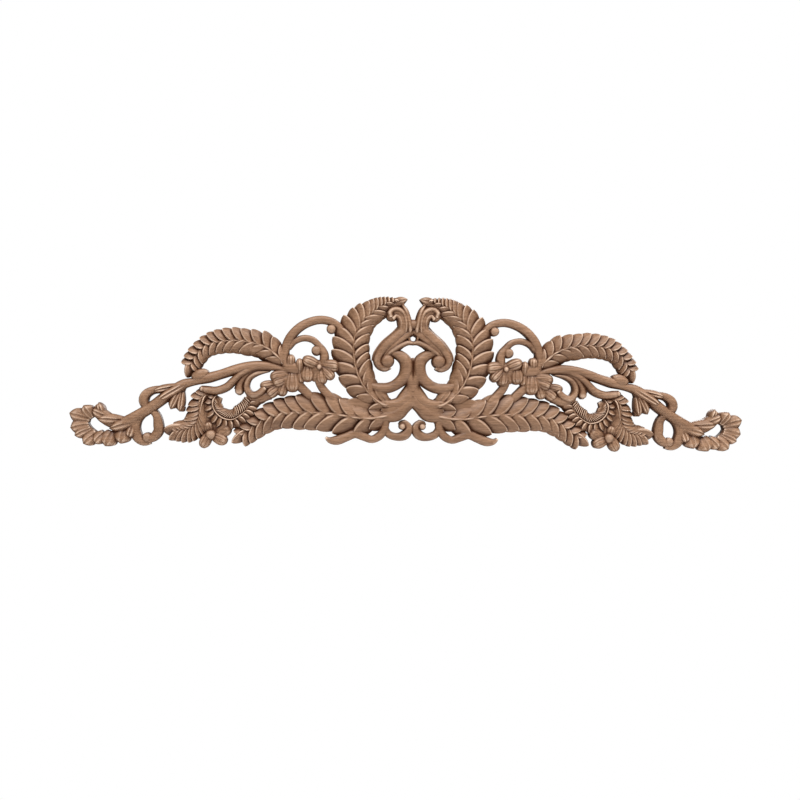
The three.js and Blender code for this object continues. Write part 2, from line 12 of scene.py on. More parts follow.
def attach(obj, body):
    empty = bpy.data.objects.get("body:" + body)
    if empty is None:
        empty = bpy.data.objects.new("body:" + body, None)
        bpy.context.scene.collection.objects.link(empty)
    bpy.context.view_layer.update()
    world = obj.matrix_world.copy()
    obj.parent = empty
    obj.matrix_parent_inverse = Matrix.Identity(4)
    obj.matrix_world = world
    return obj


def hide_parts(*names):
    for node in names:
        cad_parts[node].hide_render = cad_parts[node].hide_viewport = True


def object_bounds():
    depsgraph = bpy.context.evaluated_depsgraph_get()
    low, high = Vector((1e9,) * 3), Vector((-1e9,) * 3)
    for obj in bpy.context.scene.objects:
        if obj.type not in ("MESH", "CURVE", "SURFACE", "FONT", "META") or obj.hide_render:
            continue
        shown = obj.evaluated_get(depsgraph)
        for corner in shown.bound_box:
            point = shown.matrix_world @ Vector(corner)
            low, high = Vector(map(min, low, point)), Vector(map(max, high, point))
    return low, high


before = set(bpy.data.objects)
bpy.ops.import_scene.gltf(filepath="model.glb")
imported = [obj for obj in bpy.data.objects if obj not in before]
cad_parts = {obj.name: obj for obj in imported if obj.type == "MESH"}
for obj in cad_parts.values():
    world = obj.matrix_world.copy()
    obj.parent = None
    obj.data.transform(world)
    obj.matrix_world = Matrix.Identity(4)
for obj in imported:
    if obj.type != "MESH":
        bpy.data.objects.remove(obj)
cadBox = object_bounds()
drawnWidth = 602  # tip to tip, the length that the layout below is drawn for
mm = (cadBox[1].x - cadBox[0].x) / drawnWidth
scene = bpy.context.scene

relief = {  # heights in mm: the upright edge of the openwork, and each crown above it
    "edge": 6.0, "leaf": 4.8, "midrib": 5.4, "feather": 3.8, "acanthus": 4.8, "foot": 3.6,
    "tendril": 4.2, "stem": 5.8, "scroll": 7.0, "crest": 7.8, "petal": 6.6, "leafPetal": 5.0,
    "bead": 4.8, "bed": 0.8, "featherBed": 2, "lobe": 6.6,
}
fineness = {  # mm between a strand's rings, curve steps for each drawn point, and numbers of faces
    "alongStrand": 1.9, "perPoint": 14, "acrossStrand": 12, "alongLeaf": 11, "acrossLeaf": 14,
    "acrossBlade": 16, "roundDome": 26, "domeRings": 6,
}

# The layout of the left half, which the right half mirrors, in mm.
# Strands: each point is x, y and half width.
strands = {
    "scrollStem": {"crown": "featherBed", "path": [(-6, 64.5, 7), (-13.5, 54, 8.6), (-23.5, 46, 8),
        (-30.5, 40, 5.4), (-32.5, 34, 4.6)]},
    "scrollSweepUpper": {"crown": "scroll", "path": [(-9.6, 72, 1.6), (-9.2, 66, 3.6), (-11.2, 60.4, 4.7),
        (-17.5, 54.6, 4.8), (-24.8, 47.8, 4.6), (-29.6, 41.2, 4.3), (-31.8, 35.5, 4), (-30, 30.5, 3.5),
        (-25, 28.2, 3.2), (-20.5, 29.8, 2.6)]},
    "scrollSweepMiddle": {"crown": "stem", "path": [(0.5, 61.4, 2.4), (-3.4, 60, 3.3), (-8.2, 56.6, 3.9),
        (-14, 51.8, 4), (-20.5, 46.5, 3.6), (-25.5, 41, 3), (-27.5, 36, 2.4)]},
    "scrollSweepLower": {"crown": "stem", "path": [(0.5, 50.6, 1.6), (-4.4, 51.4, 2.4), (-10, 49.4, 3),
        (-16.5, 45.5, 3.2), (-22, 41.5, 2.9), (-25.5, 37, 2.2)]},
    "scrollBand": {"crown": "scroll", "path": [(-29.5, 37, 1.2), (-26, 40.6, 2.4), (-20, 41.8, 3.4),
        (-12.5, 40, 4.8), (-6.8, 35, 5.8), (-5.5, 28, 6), (-8, 20, 5.7), (-15, 13.6, 4.9),
        (-22.5, 10.6, 4.8), (-30, 10.4, 4.8), (-37, 13, 3), (-41, 16, 0.8)]},
    "crest": {"crown": "lobe", "path": [(-14.5, 53, 1), (-9.6, 59, 4.8), (-8, 66, 6.2), (-10, 74, 6),
        (-14.5, 78, 5.6), (-18.2, 76.4, 5.2)]},
    "crestRimInner": {"crown": "scroll", "roundEnd": True, "path": [(-17, 55.4, 0.6), (-12.6, 58.6, 2.2),
        (-10.8, 67, 2.9), (-12, 72.4, 3), (-15.4, 75, 2.9), (-18, 73, 3)]},
    "crestRimMiddle": {"crown": "crest", "roundEnd": True, "path": [(-10.8, 56.4, 0.6), (-7.4, 60.6, 2.4),
        (-6.6, 68, 3), (-8.6, 76, 3), (-12.6, 80, 3), (-17.6, 80.6, 3), (-21, 77.8, 3.2),
        (-20.4, 74.6, 3)]},
    "crestOuter": {"crown": "scroll", "path": [(-5.4, 57.2, 0.6), (-3.2, 62, 3), (-5, 72, 3.2),
        (-7.5, 80, 2.8), (-10.5, 84.5, 1.6)]},
    "holeSide": {"crown": "foot", "path": [(-3.8, 59, 1.7), (-4.1, 55, 1.7), (-2.8, 51.4, 1.3)]},
    "crestBridge": {"crown": "stem", "path": [(-8, 67, 5), (0.5, 67, 5)]},
    "crestWeb": {"crown": "bed", "path": [(-14, 56, 0.8), (-9, 57.4, 3.8), (0.5, 60.5, 2.8)]},
    "crestYoke": {"crown": "featherBed", "path": [(-17, 55, 1), (-12.6, 54.9, 4.6), (-7, 53.5, 4.2),
        (-2.5, 50.8, 1.6), (0.5, 50.6, 1.5)]},
    "saddle": {"crown": "stem", "path": [(0.5, 37.4, 1), (-2.4, 33, 3), (-3, 28, 4), (-3, 20, 4.5),
        (0.5, 8, 5)]},
    "saddleRoot": {"crown": "stem", "path": [(0.5, 12, 3), (0.5, 5, 5.2), (0.5, -2, 3)]},
    "stemHeart": {"crown": "leafPetal", "path": [(0.5, 15, 5), (-4, 4, 7.4), (-11, -5.5, 7.6),
        (-20, -9.5, 7), (-28, -8.5, 4.4)]},
    "frondStem": {"crown": "stem", "path": [(0.5, 14.5, 4.8), (-2.5, 5.5, 5.3), (-9.5, -1.5, 5.4),
        (-18.5, -4, 4.6), (-26, -2.5, 3.6), (-33, 2.5, 2.2)]},
    "frondTipBed": {"crown": "foot", "path": [(-24, 82.5, 2.6), (-15.5, 84.6, 2.6), (-8.5, 85.6, 2.2)]},
    "frondBed": {"crown": "bed", "path": [(-34, -6, 6), (-48, -4, 6), (-60, -6, 5)]},
    "lowerStem": {"crown": "stem", "path": [(0.5, 2, 6.6), (-7, -5.5, 6.2), (-14, -12.5, 6.6),
        (-23, -14.5, 5.4), (-32, -16, 3)]},
    "footWave": {"crown": "foot", "path": [(-77, -34, 1), (-73.5, -36.5, 2.7), (-67, -36.5, 4.2),
        (-59, -33.5, 4.1), (-51, -30.5, 4), (-43, -33, 3.8), (-36, -35.5, 3.3), (-29.5, -32.5, 3.7),
        (-25, -26.5, 3.5), (-23.5, -18, 3.4)]},
    "footScroll": {"crown": "foot", "roundEnd": True, "path": [(-24.5, -24.5, 2.8), (-21, -30.5, 3.4),
        (-13.5, -33, 3.5), (-6.2, -31, 4.4), (-3, -25, 3.6), (-7, -20, 2.5), (-10.4, -21, 2.1)]},
    "arcOuter": {"crown": "tendril", "path": [(-113.5, 29, 3.2), (-114, 40.5, 3.8), (-111, 51.5, 4.1),
        (-104, 61, 4), (-94.5, 67.5, 3.8), (-83, 70.5, 3.6), (-72, 68.5, 3.5), (-63.5, 62.5, 2.6),
        (-57, 55, 0.6)]},
    "arcInner": {"crown": "tendril", "path": [(-111, 45, 2.7), (-105.5, 51, 2.7), (-97.5, 54, 2.8),
        (-89.5, 52.5, 2.9), (-84, 47.5, 3.1), (-80, 42, 3.8), (-79, 35.5, 4.2), (-81.5, 30, 3)]},
    "strutLeft": {"crown": "foot", "path": [(-103.5, 14, 4.5), (-97, 8, 4), (-91, 2, 3.6),
        (-86, -3.5, 0.8)]},
    "strutRight": {"crown": "foot", "path": [(-84.5, 18.5, 3.6), (-82, 12, 3.6), (-77, 5.5, 3.8),
        (-70.5, -0.5, 3.4), (-65, -4, 0.6)]},
    "mainStem": {"crown": "stem", "path": [(-112.5, 24.5, 1.6), (-121, 27.5, 3.1), (-133.5, 29, 4.2),
        (-146, 28, 4.4), (-157.5, 25, 4.5), (-169.5, 21, 4.2), (-181, 17.5, 4.5), (-192, 14.5, 3.4),
        (-202, 12, 4.2), (-210.5, 6.5, 4.9), (-219, 0, 4.9), (-228, -7, 4.7), (-237, -13, 4.7),
        (-246, -18.5, 4.9), (-254.5, -23, 4.9)]},
    "branchLong": {"crown": "stem", "roundEnd": True, "path": [(-119, 26.5, 1), (-130, 27.6, 2.6),
        (-141, 26.8, 3), (-151, 22.4, 3.3), (-158, 16.2, 3.5), (-164.6, 9.8, 3.7), (-173.5, 6.4, 3.7),
        (-182, 7, 3.6), (-186, 7.8, 3)]},
    "branchLobe": {"crown": "tendril", "roundEnd": True, "path": [(-126, 25, 0.8), (-136, 25.4, 2.4),
        (-144.6, 22.8, 2.8), (-150.2, 17.6, 3), (-153.4, 11.8, 3.4), (-153.6, 6.4, 4)]},
    "branchHook": {"crown": "stem", "path": [(-127, 24.4, 0.8), (-137.2, 22.6, 2.3), (-144.2, 18.6, 2.6),
        (-147.2, 12.6, 2.9), (-146.4, 6.8, 3.2), (-142, 2.6, 3.5), (-136, 4.2, 3.5), (-131, 9.6, 3.2)]},
    "branchWeb": {"crown": "bed", "path": [(-157, 12, 4), (-149, 9, 4.4)]},
    "featherRoundBed": {"crown": "featherBed", "path": [(-173, 2, 5), (-176, -5, 7), (-172, -15, 7.5),
        (-163, -19.5, 8), (-154, -16.5, 7), (-147, -9, 6), (-143.5, -3, 4.5)]},
    "featherLongBed": {"crown": "featherBed", "path": [(-183, 0, 5), (-187, -8, 8.5), (-189, -17, 10),
        (-193, -24, 9.5), (-202, -28.5, 6)]},
    "featherNeck": {"crown": "feather", "path": [(-147.5, 1.5, 3), (-140, 0, 4), (-133, 1.5, 4),
        (-126, 3, 4)]},
    "loopSmall": {"crown": "tendril", "path": [(-211.5, 7.5, 3.2), (-220, 7, 3.5), (-229, 6, 3.5),
        (-235, 2.5, 4.2), (-237, -3, 4.5), (-234.5, -8.5, 4)]},
    "loopLeft": {"crown": "tendril", "path": [(-237, -12.5, 4.4), (-243, -19, 5.1), (-244.5, -27, 4.9),
        (-242, -35, 4.7), (-236.5, -39.5, 3.5), (-230.5, -39, 2.4)]},
    "loopRight": {"crown": "tendril", "path": [(-230, -10.5, 3.2), (-225.5, -16.5, 3.6), (-224, -24, 4.5),
        (-224, -30, 4.4), (-228, -35, 4), (-233, -37, 3.6)]},
    "hangLobe": {"crown": "foot", "roundEnd": True, "path": [(-203.5, 10, 3.4), (-208, 2, 5.4),
        (-210.5, -4.8, 5.2)]},
    "hangLobeSmall": {"crown": "feather", "roundEnd": True, "path": [(-208, 1, 3), (-206.5, -6, 3.9),
        (-204, -9.5, 3.4)]},
    "tipUpper": {"crown": "acanthus", "roundEnd": True, "path": [(-243, -20, 5), (-254.5, -24.2, 5.4),
        (-265, -22.4, 4.8), (-272, -18.4, 4.4), (-276, -12.8, 4), (-276.4, -9.8, 3.4)]},
    "tipLower": {"crown": "foot", "path": [(-245, -28, 3.2), (-253.5, -30.5, 4.5), (-264, -34.5, 4.6),
        (-275, -36.5, 4.8), (-285, -31.5, 5.6), (-290.5, -24, 6.4), (-288.5, -16.5, 6),
        (-281.5, -12.5, 3.6)]},
}

# Pointed lobes with one groove: the acanthus at the tip, the folds round the stem, and two last leaves.
lobes = {
    "outer": {"base": (-283, -19.2), "tip": (-300.8, -14.6), "halfWidth": 6.4},
    "fold": {"base": (-281, -18.6), "tip": (-288.6, -7.8), "halfWidth": 5.8},
    "lower": {"base": (-284, -24.4), "tip": (-299.8, -27.6), "halfWidth": 6.8},
    "lowerNotch": {"base": (-282.4, -28), "tip": (-296, -34.4), "halfWidth": 5.2},
    "under": {"base": (-277, -31.8), "tip": (-288.6, -41.4), "halfWidth": 6.4},
    "underFold": {"base": (-270.6, -31.4), "tip": (-279.4, -41), "halfWidth": 5.6},
    "middle": {"base": (-264, -30.8), "tip": (-269.6, -43.4), "halfWidth": 7.6},
    "inner": {"base": (-253.4, -28), "tip": (-256.2, -41.2), "halfWidth": 7.2},
    "innerFold": {"base": (-246, -25), "tip": (-249.5, -36), "halfWidth": 4.6},
    "curlTop": {"base": (-271, -18.5), "tip": (-275.6, -5), "halfWidth": 3.6},
    "curlOuter": {"base": (-264, -19.6), "tip": (-282, -11.4), "halfWidth": 5},
    "curlMiddle": {"base": (-254, -20.5), "tip": (-277.4, -19), "halfWidth": 5},
    "curlFold": {"base": (-243, -21), "tip": (-266.4, -28), "halfWidth": 5.6},
    "frondEnd": {"base": (-22.5, 84.8), "tip": (-5.4, 90), "halfWidth": 4.1, "crown": "tendril"},
    "rootLeaf": {"base": (-21.5, -5), "tip": (-34.6, 11.8), "halfWidth": 5.6, "crown": "leaf"},
    "stemFold": {"base": (-198, 13.5), "tip": (-226, -3.4), "halfWidth": 4.6, "crown": "crest"},
    "stemFoldUpper": {"base": (-205, 10.5), "tip": (-229, 5.4), "halfWidth": 3.8},
    "hangFold": {"base": (-205.5, 7), "tip": (-213.5, -10.5), "halfWidth": 4.4},
    "hangFoldInner": {"base": (-203.5, 5), "tip": (-205.5, -12.5), "halfWidth": 3.8},
}

# Domed buds, beads and eyes: centre, half length and half width, and the long axis's turn in degrees.
domes = {
    "clusterHeart": {"crown": "feather", "at": (-112, 15), "half": (9, 7), "turn": 0},
    "clusterFoot": {"crown": "feather", "at": (-122, 8.5), "half": (8, 4.6), "turn": 25},
    "clusterNeck": {"crown": "feather", "at": (-107, 27.5), "half": (10.5, 6), "turn": -10},
    "roseHeart": {"crown": "petal", "at": (-83.5, 28.5), "half": (3.2, 3.2), "turn": 0},
    "roseBed": {"crown": "feather", "at": (-84, 27), "half": (9, 8), "turn": 0},
    "starHeart": {"crown": "petal", "at": (-178, -32.5), "half": (5, 4.7), "turn": 0},
    "starBed": {"crown": "bed", "at": (-175, -27), "half": (12, 10), "turn": 0},
    "curlLeaf": {"crown": "stem", "at": (-188, 20), "half": (8.2, 5.6), "turn": 18},
    "scrollEye": {"crown": "scroll", "at": (-23.2, 34.8), "half": (6.6, 6.6), "turn": 0},
    "crestLobe": {"crown": "stem", "at": (-19.6, 74.8), "half": (5, 4.8), "turn": 0},
    "beadOuter": {"crown": "bead", "at": (-73, 62.5), "half": (4.4, 4.4), "turn": 0},
    "beadInner": {"crown": "bead", "at": (-86, 43), "half": (4.6, 4.6), "turn": 0},
    "beadLoop": {"crown": "bead", "at": (-233.5, -35.5), "half": (4.5, 4.5), "turn": 0},
    "footEye": {"crown": "bead", "at": (-9, -23.5), "half": (3.2, 3.2), "turn": 0},
}

# Petals, each a grooved blade that rises from its base and rolls down at its tip.
petals = {
    "tulip": {"crown": "petal", "base": (-107.2, 22.5), "tip": (-107, 5.6), "halfWidth": 6.9},
    "tulipLeft": {"crown": "leafPetal", "base": (-110.5, 21.6), "tip": (-126.8, 18.6), "halfWidth": 5.4},
    "tulipLeftLow": {"crown": "stem", "base": (-111, 18), "tip": (-124.8, 12.6), "halfWidth": 5.2},
    "tulipUp": {"crown": "leafPetal", "base": (-108.5, 27), "tip": (-108.6, 39.4), "halfWidth": 4},
    "tulipUpRight": {"crown": "leafPetal", "base": (-100.6, 22), "tip": (-100.9, 36), "halfWidth": 3.7},
    "tulipRight": {"crown": "stem", "base": (-93.6, 30), "tip": (-94, 14.8), "halfWidth": 6},
    "tulipLow": {"crown": "tendril", "base": (-100.4, 24), "tip": (-99.6, 13.2), "halfWidth": 3.8},
    "sprayTop": {"crown": "leafPetal", "base": (-121, 13.4), "tip": (-135.6, 10.8), "halfWidth": 4.1},
    "sprayMiddle": {"crown": "stem", "base": (-118, 10.6), "tip": (-129.5, 2), "halfWidth": 5},
    "sprayLow": {"crown": "leafPetal", "base": (-114, 14), "tip": (-117.4, 2), "halfWidth": 4.8},
    "sprayEnd": {"crown": "feather", "base": (-124, 3), "tip": (-140.5, -1.5), "halfWidth": 3.9},
    "roseLeft": {"crown": "foot", "base": (-84, 28.2), "tip": (-88.4, 15.4), "halfWidth": 5},
    "roseUp": {"crown": "petal", "base": (-83, 29.4), "tip": (-98.6, 35.6), "halfWidth": 5.4},
    "roseDown": {"crown": "stem", "base": (-82.6, 28.4), "tip": (-80, 12.8), "halfWidth": 5.2},
    "roseDownRight": {"crown": "petal", "base": (-81.5, 28.8), "tip": (-70.6, 18), "halfWidth": 5},
    "roseRight": {"crown": "petal", "base": (-81.5, 30.4), "tip": (-65.6, 28.8), "halfWidth": 5.8},
    "starLeft": {"crown": "leafPetal", "base": (-179, -31), "tip": (-186, -44), "halfWidth": 4.9},
    "starRight": {"crown": "leafPetal", "base": (-177, -33.4), "tip": (-163.8, -39), "halfWidth": 5.1},
    "starTop": {"crown": "feather", "base": (-173, -33), "tip": (-161, -25.5), "halfWidth": 5.6},
    "starBack": {"crown": "feather", "base": (-179, -31), "tip": (-182, -21), "halfWidth": 4.2},
}

# Fronds: a midrib from root to tip with a row of leaflets on each side. Lengths, angles to the midrib in
# degrees and half widths are spread evenly from the first leaflet to the last. Crowding gathers the
# leaflets towards the tip, and a higher easing, 4 where a row gives none, gathers them later.
fronds = {
    "uprightFrond": {"crown": "leaf", "ribWidth": 2.2,
        "midrib": [(-12, -3.5), (-24.5, -4.5), (-33, 0), (-41, 8), (-47, 17.5), (-51, 28), (-53, 39.5),
            (-53, 52), (-49.5, 64), (-43.5, 72.5), (-35.5, 79), (-27, 83.4), (-19.5, 86.2), (-12.5, 88.2)],
        "left": {"count": 19, "from": 0.065, "to": 0.96, "crowding": 0.54, "easing": 2,
            "lengths": [19, 21.4, 24.5, 26.9, 25.9, 22.9, 18.7, 14.5, 10.6, 7.6, 4.8],
            "angles": [10, 33, 42, 40, 36, 26, 24, 35, 50, 58, 48],
            "halfWidths": [5.6, 6.9, 7.5, 7.3, 6.7, 5.8, 4.4, 3.2, 2.5]},
        "right": {"count": 15, "from": 0.04, "to": 0.95, "crowding": 0.05,
            "lengths": [17, 20, 22, 21.5, 19.5, 21, 23, 21.5, 18, 12, 8],
            "angles": [24, 36, 44, 50, 50, 46, 42, 40, 36, 28, 22],
            "halfWidths": [5, 6, 6.2, 6, 5.8, 5.2, 4.8, 4.4]}},
    "lowerFrond": {"crown": "leaf", "ribWidth": 2.2,
        "midrib": [(-12, -13.5), (-24.5, -14.5), (-37, -16.5), (-50.5, -16), (-64, -14), (-77, -12.5),
            (-90.5, -12), (-104, -12), (-116, -13.5), (-127.5, -17.5), (-138, -23.5), (-146, -29.5),
            (-153.5, -35.4)],
        "tip": {"base": (-145, -28.6), "tip": (-159.8, -39.6), "halfWidth": 4.8},
        "left": {"count": 12, "from": 0.057, "to": 0.93, "crowding": 0.12,
            "lengths": [22, 28, 29, 27, 24, 21.5, 19.5, 17.5, 14],
            "angles": [30, 33, 34, 35, 36, 37, 38, 40, 42],
            "halfWidths": [6.6, 7.5, 7.5, 7.1, 6.4, 5.4, 4.5]},
        "right": {"count": 13, "from": 0.075, "to": 0.94, "crowding": 0.12,
            "lengths": [17, 23.5, 28, 28, 24, 20.5, 16, 13, 12],
            "angles": [26, 38, 38, 33, 32, 34, 38, 40, 44],
            "halfWidths": [6.2, 7.1, 7.5, 7.5, 7, 6.1, 4.9, 4]}},
    "archFrond": {"crown": "leaf", "ribWidth": 1.9,
        "midrib": [(-111.5, 29), (-119.5, 36.5), (-126.5, 42.5), (-134, 46.5), (-143.5, 49), (-153.5, 50.5),
            (-163, 50.5), (-172.5, 49.5), (-181.5, 46.5), (-188, 41.5), (-193, 35), (-196.5, 27.5)],
        "tip": {"base": (-195, 32), "tip": (-199.5, 17.5), "halfWidth": 5},
        "left": {"count": 12, "from": 0.03, "to": 0.95, "crowding": 0.1,
            "lengths": [18, 19.5, 19.5, 18, 16, 14.5, 13.5, 13, 11],
            "angles": [32, 40, 38, 36, 40, 45, 48, 50, 50],
            "halfWidths": [5.5, 6, 6, 5.4, 5, 4.5, 4.2]},
        "right": {"count": 14, "from": 0.03, "to": 0.95, "crowding": 0.1,
            "lengths": [17, 20, 19, 18.5, 18, 16.5, 13.5, 11.5, 11, 10.5],
            "angles": [34, 32, 30, 33, 35, 36, 38, 44, 54, 60],
            "halfWidths": [5.4, 5.6, 5.4, 5, 4.8, 4.4, 4.2, 4]}},
    "featherLong": {"crown": "feather", "ribWidth": 1.5,
        "midrib": [(-180, 4), (-184, 0.5), (-186.5, -7), (-187.5, -14.5), (-190, -21.5), (-196, -27),
            (-206, -29.5)],
        "tip": {"base": (-200, -28), "tip": (-220, -29), "halfWidth": 6},
        "left": {"count": 15, "from": 0.02, "to": 0.97, "crowding": 0,
            "lengths": [14, 17, 18, 17, 16, 15, 13], "angles": [16, 20, 24, 28, 30, 32, 28],
            "halfWidths": [3.8, 4.2, 4.4, 4.3, 4]},
        "right": {"count": 12, "from": 0.0, "to": 0.96, "crowding": 0,
            "lengths": [12, 14, 15.5, 15.5, 15, 14, 10.5], "angles": [46, 52, 56, 56, 52, 46, 36],
            "halfWidths": [3.8, 4.2, 4.2, 4, 3.8]}},
    "featherRound": {"crown": "feather", "ribWidth": 1.5,
        "midrib": [(-173, 3.5), (-176, -1.5), (-176.5, -6.5), (-174, -12.5), (-168, -17.5), (-160, -19),
            (-153, -15.5), (-146.5, -9.5), (-143, -3), (-138.5, 1)],
        "left": {"count": 27, "from": 0.05, "to": 0.93, "crowding": 0,
            "lengths": [8, 10, 10.8, 10.8, 9.8, 7.4], "angles": [62, 66, 70, 70, 66, 60],
            "halfWidths": [2.1, 2.1, 2.1, 2]},
        "right": {"count": 16, "from": 0.03, "to": 0.97, "crowding": 0,
            "lengths": [8, 10, 10.5, 10, 9.5, 9.5, 10], "angles": [60, 62, 64, 60, 56, 52, 48],
            "halfWidths": [3.6, 4, 4, 3.8]}},
}


def spread(values, share):  # the value at a share of the way through an evenly spread list
    place = share * (len(values) - 1)
    i = min(int(place), len(values) - 2)
    return values[i] + (values[i + 1] - values[i]) * (place - i)


def smoothPath(points):  # a Catmull-Rom curve through the points
    before = tuple(2 * a - b for a, b in zip(points[0], points[1]))
    after = tuple(2 * a - b for a, b in zip(points[-1], points[-2]))
    p = [Vector(point) for point in (before, *points, after)]
    steps = fineness["perPoint"]
    path = []
    for i in range(1, len(p) - 2):
        for k in range(steps):
            t = k / steps
            path.append(0.5 * (2 * p[i] + (p[i + 1] - p[i - 1]) * t
                               + (2 * p[i - 1] - 5 * p[i] + 4 * p[i + 1] - p[i + 2]) * t ** 2
                               + (3 * p[i] - p[i - 1] - 3 * p[i + 1] + p[i + 2]) * t ** 3))
    path.append(p[-2])
    return path


def placeAlong(path, share):  # position and heading at a share of the path's length
    lengths = [(b - a).length for a, b in zip(path, path[1:])]
    left = share * sum(lengths)
    for a, b, length in zip(path, path[1:], lengths):
        if left <= length or b is path[-1]:
            return a.lerp(b, left / length), (b - a).normalized()
        left -= length


def keepAside(name, data, collection):
    thing = bpy.data.objects.new(name, data)
    collection.objects.link(thing)
    return thing


workshop = bpy.data.collections.new("workshop")  # patterns and points that the trees read
strandShelf = bpy.data.collections.new("strandShelf")  # neither collection is linked to the scene


def closedForm(name, rows, wall):
    # A closed solid under a sheet of points: its rim drops straight down to a flat underside.
    columns = len(rows[0])
    top = [p for row in rows for p in row]
    faces = [(i * columns + j, i * columns + j + 1, (i + 1) * columns + j + 1, (i + 1) * columns + j)
             for i in range(len(rows) - 1) for j in range(columns - 1)]
    last = (len(rows) - 1) * columns
    rim = [*range(columns), *[i * columns + columns - 1 for i in range(1, len(rows))],
           *[last + j for j in range(columns - 2, -1, -1)],
           *[i * columns for i in range(len(rows) - 2, 0, -1)]]
    under = len(top)
    vertices = top + [(top[i][0], top[i][1], -wall) for i in rim]
    n = len(rim)
    faces += [(rim[k], under + k, under + (k + 1) % n, rim[(k + 1) % n]) for k in range(n)]
    faces.append(tuple(under + k for k in reversed(range(n))))
    mesh = bpy.data.meshes.new(name)
    mesh.from_pydata(vertices, [], faces)
    mesh.validate()
    return mesh


def quarterRise(low, share):  # from low up to 1 over a quarter of a wave
    return low + (1 - low) * math.sin(math.pi / 2 * share)


def quarterFall(share):  # from 1 down to 0 over a quarter of a wave
    return math.cos(math.pi / 2 * share)


leaflet = {  # one leaflet of length 1, half width 1 and height 1, along +x
    "widest": 0.42, "rootWidth": 0.6, "blunt": 0.6, "bend": 0.09, "narrowest": 0.03,
    "low": -0.42, "crest": 0.88, "edgeDrop": 0.22,  # across: covered edge, highest line, fall at free edge
    "root": 0.6, "top": 0.45, "tip": 0.42,  # along: height at the root, highest place, height at the tip
    "rim": 0.1, "rimHalf": 0.1,  # raised line along the free edge
    "wall": 4, "finerTip": 1.35,  # how far its sides go down, and how its rows gather at the tip
}


def leafletMesh(name, side):  # side 1 has its lapping edge on the right of its axis, -1 on the left
    rows = []
    along, across = fineness["alongLeaf"], fineness["acrossLeaf"]
    for i in range(along + 1):
        u = 1 - (1 - i / along) ** leaflet["finerTip"]
        if u < leaflet["widest"]:
            half = quarterRise(leaflet["rootWidth"], u / leaflet["widest"])
        else:
            half = quarterFall((u - leaflet["widest"]) / (1 - leaflet["widest"])) ** leaflet["blunt"]
        half = max(half, leaflet["narrowest"])
        centre = 4 * leaflet["bend"] * u * (1 - u) * side
        row = []
        for j in range(across + 1):
            v = 2 * j / across - 1  # from the right edge to the left edge
            lead = (1 - v) / 2 if side > 0 else (1 + v) / 2  # 1 at the free edge, which laps the next one
            if lead < leaflet["crest"]:
                rise = quarterRise(leaflet["low"], lead / leaflet["crest"])
            else:
                rise = 1 - leaflet["edgeDrop"] * ((lead - leaflet["crest"]) / (1 - leaflet["crest"])) ** 2
            if u < leaflet["top"]:
                rise *= quarterRise(leaflet["root"], u / leaflet["top"])
            else:
                rise *= 1 - (1 - leaflet["tip"]) * ((u - leaflet["top"]) / (1 - leaflet["top"])) ** 2
            rim = max(0, 1 - abs(lead - leaflet["crest"]) / leaflet["rimHalf"])
            row.append((u, centre + v * half, rise + leaflet["rim"] * rim * (1 - u * u)))
        rows.append(row)
    return closedForm(name, [list(reversed(row)) for row in rows], leaflet["wall"])


blade = {  # a grooved petal or lobe of length 1, half width 1 and height 1, along +x
    "root": 0.45, "rootHalf": 0.6, "shoulder": 0.58, "rolls": 0.7, "tip": 0.3, "narrowest": 0.03,
    "crown": 0.55, "crownPower": 2.6, "grooveStart": 0.12, "grooveRun": 0.85, "wall": 4, "finerTip": 1.5,
}
bladeKinds = {
    "petal": {"blunt": 0.38, "groove": 0.13, "grooveHalf": 0.16, "groovesAt": (-0.38, 0.38)},
    "lobe": {"blunt": 0.78, "groove": 0.18, "grooveHalf": 0.26, "groovesAt": (0.05,)},
}


def bladeMesh(name):
    kind = bladeKinds[name]
    rows = []
    along, across = fineness["alongLeaf"], fineness["acrossBlade"]
    for i in range(along + 1):
        u = 1 - (1 - i / along) ** blade["finerTip"]
        if u < blade["shoulder"]:
            half = quarterRise(blade["rootHalf"], u / blade["shoulder"])
        else:
            half = quarterFall((u - blade["shoulder"]) / (1 - blade["shoulder"])) ** kind["blunt"]
        half = max(half, blade["narrowest"])
        rise = quarterRise(blade["root"], min(u / blade["rolls"], 1))
        if u > blade["rolls"]:
            rise *= 1 - (1 - blade["tip"]) * ((u - blade["rolls"]) / (1 - blade["rolls"])) ** 2
        run = min(1, blade["grooveStart"] + u * blade["grooveRun"])
        fade = math.sin(math.pi * run) ** 0.5  # the groove runs out at the tip
        row = []
        for j in range(across + 1):
            v = 2 * j / across - 1
            dip = sum(max(0, 1 - abs(v - at) / kind["grooveHalf"]) for at in kind["groovesAt"])
            row.append((u, v * half, rise * (1 - blade["crown"] * abs(v) ** blade["crownPower"])
                        - kind["groove"] * dip * fade))
        rows.append(row)
    return closedForm(name, [list(reversed(row)) for row in rows], blade["wall"])


dome = {"full": 0.85, "wall": 10}  # of radius 1 and height 1; a lower "full" swells its shoulders


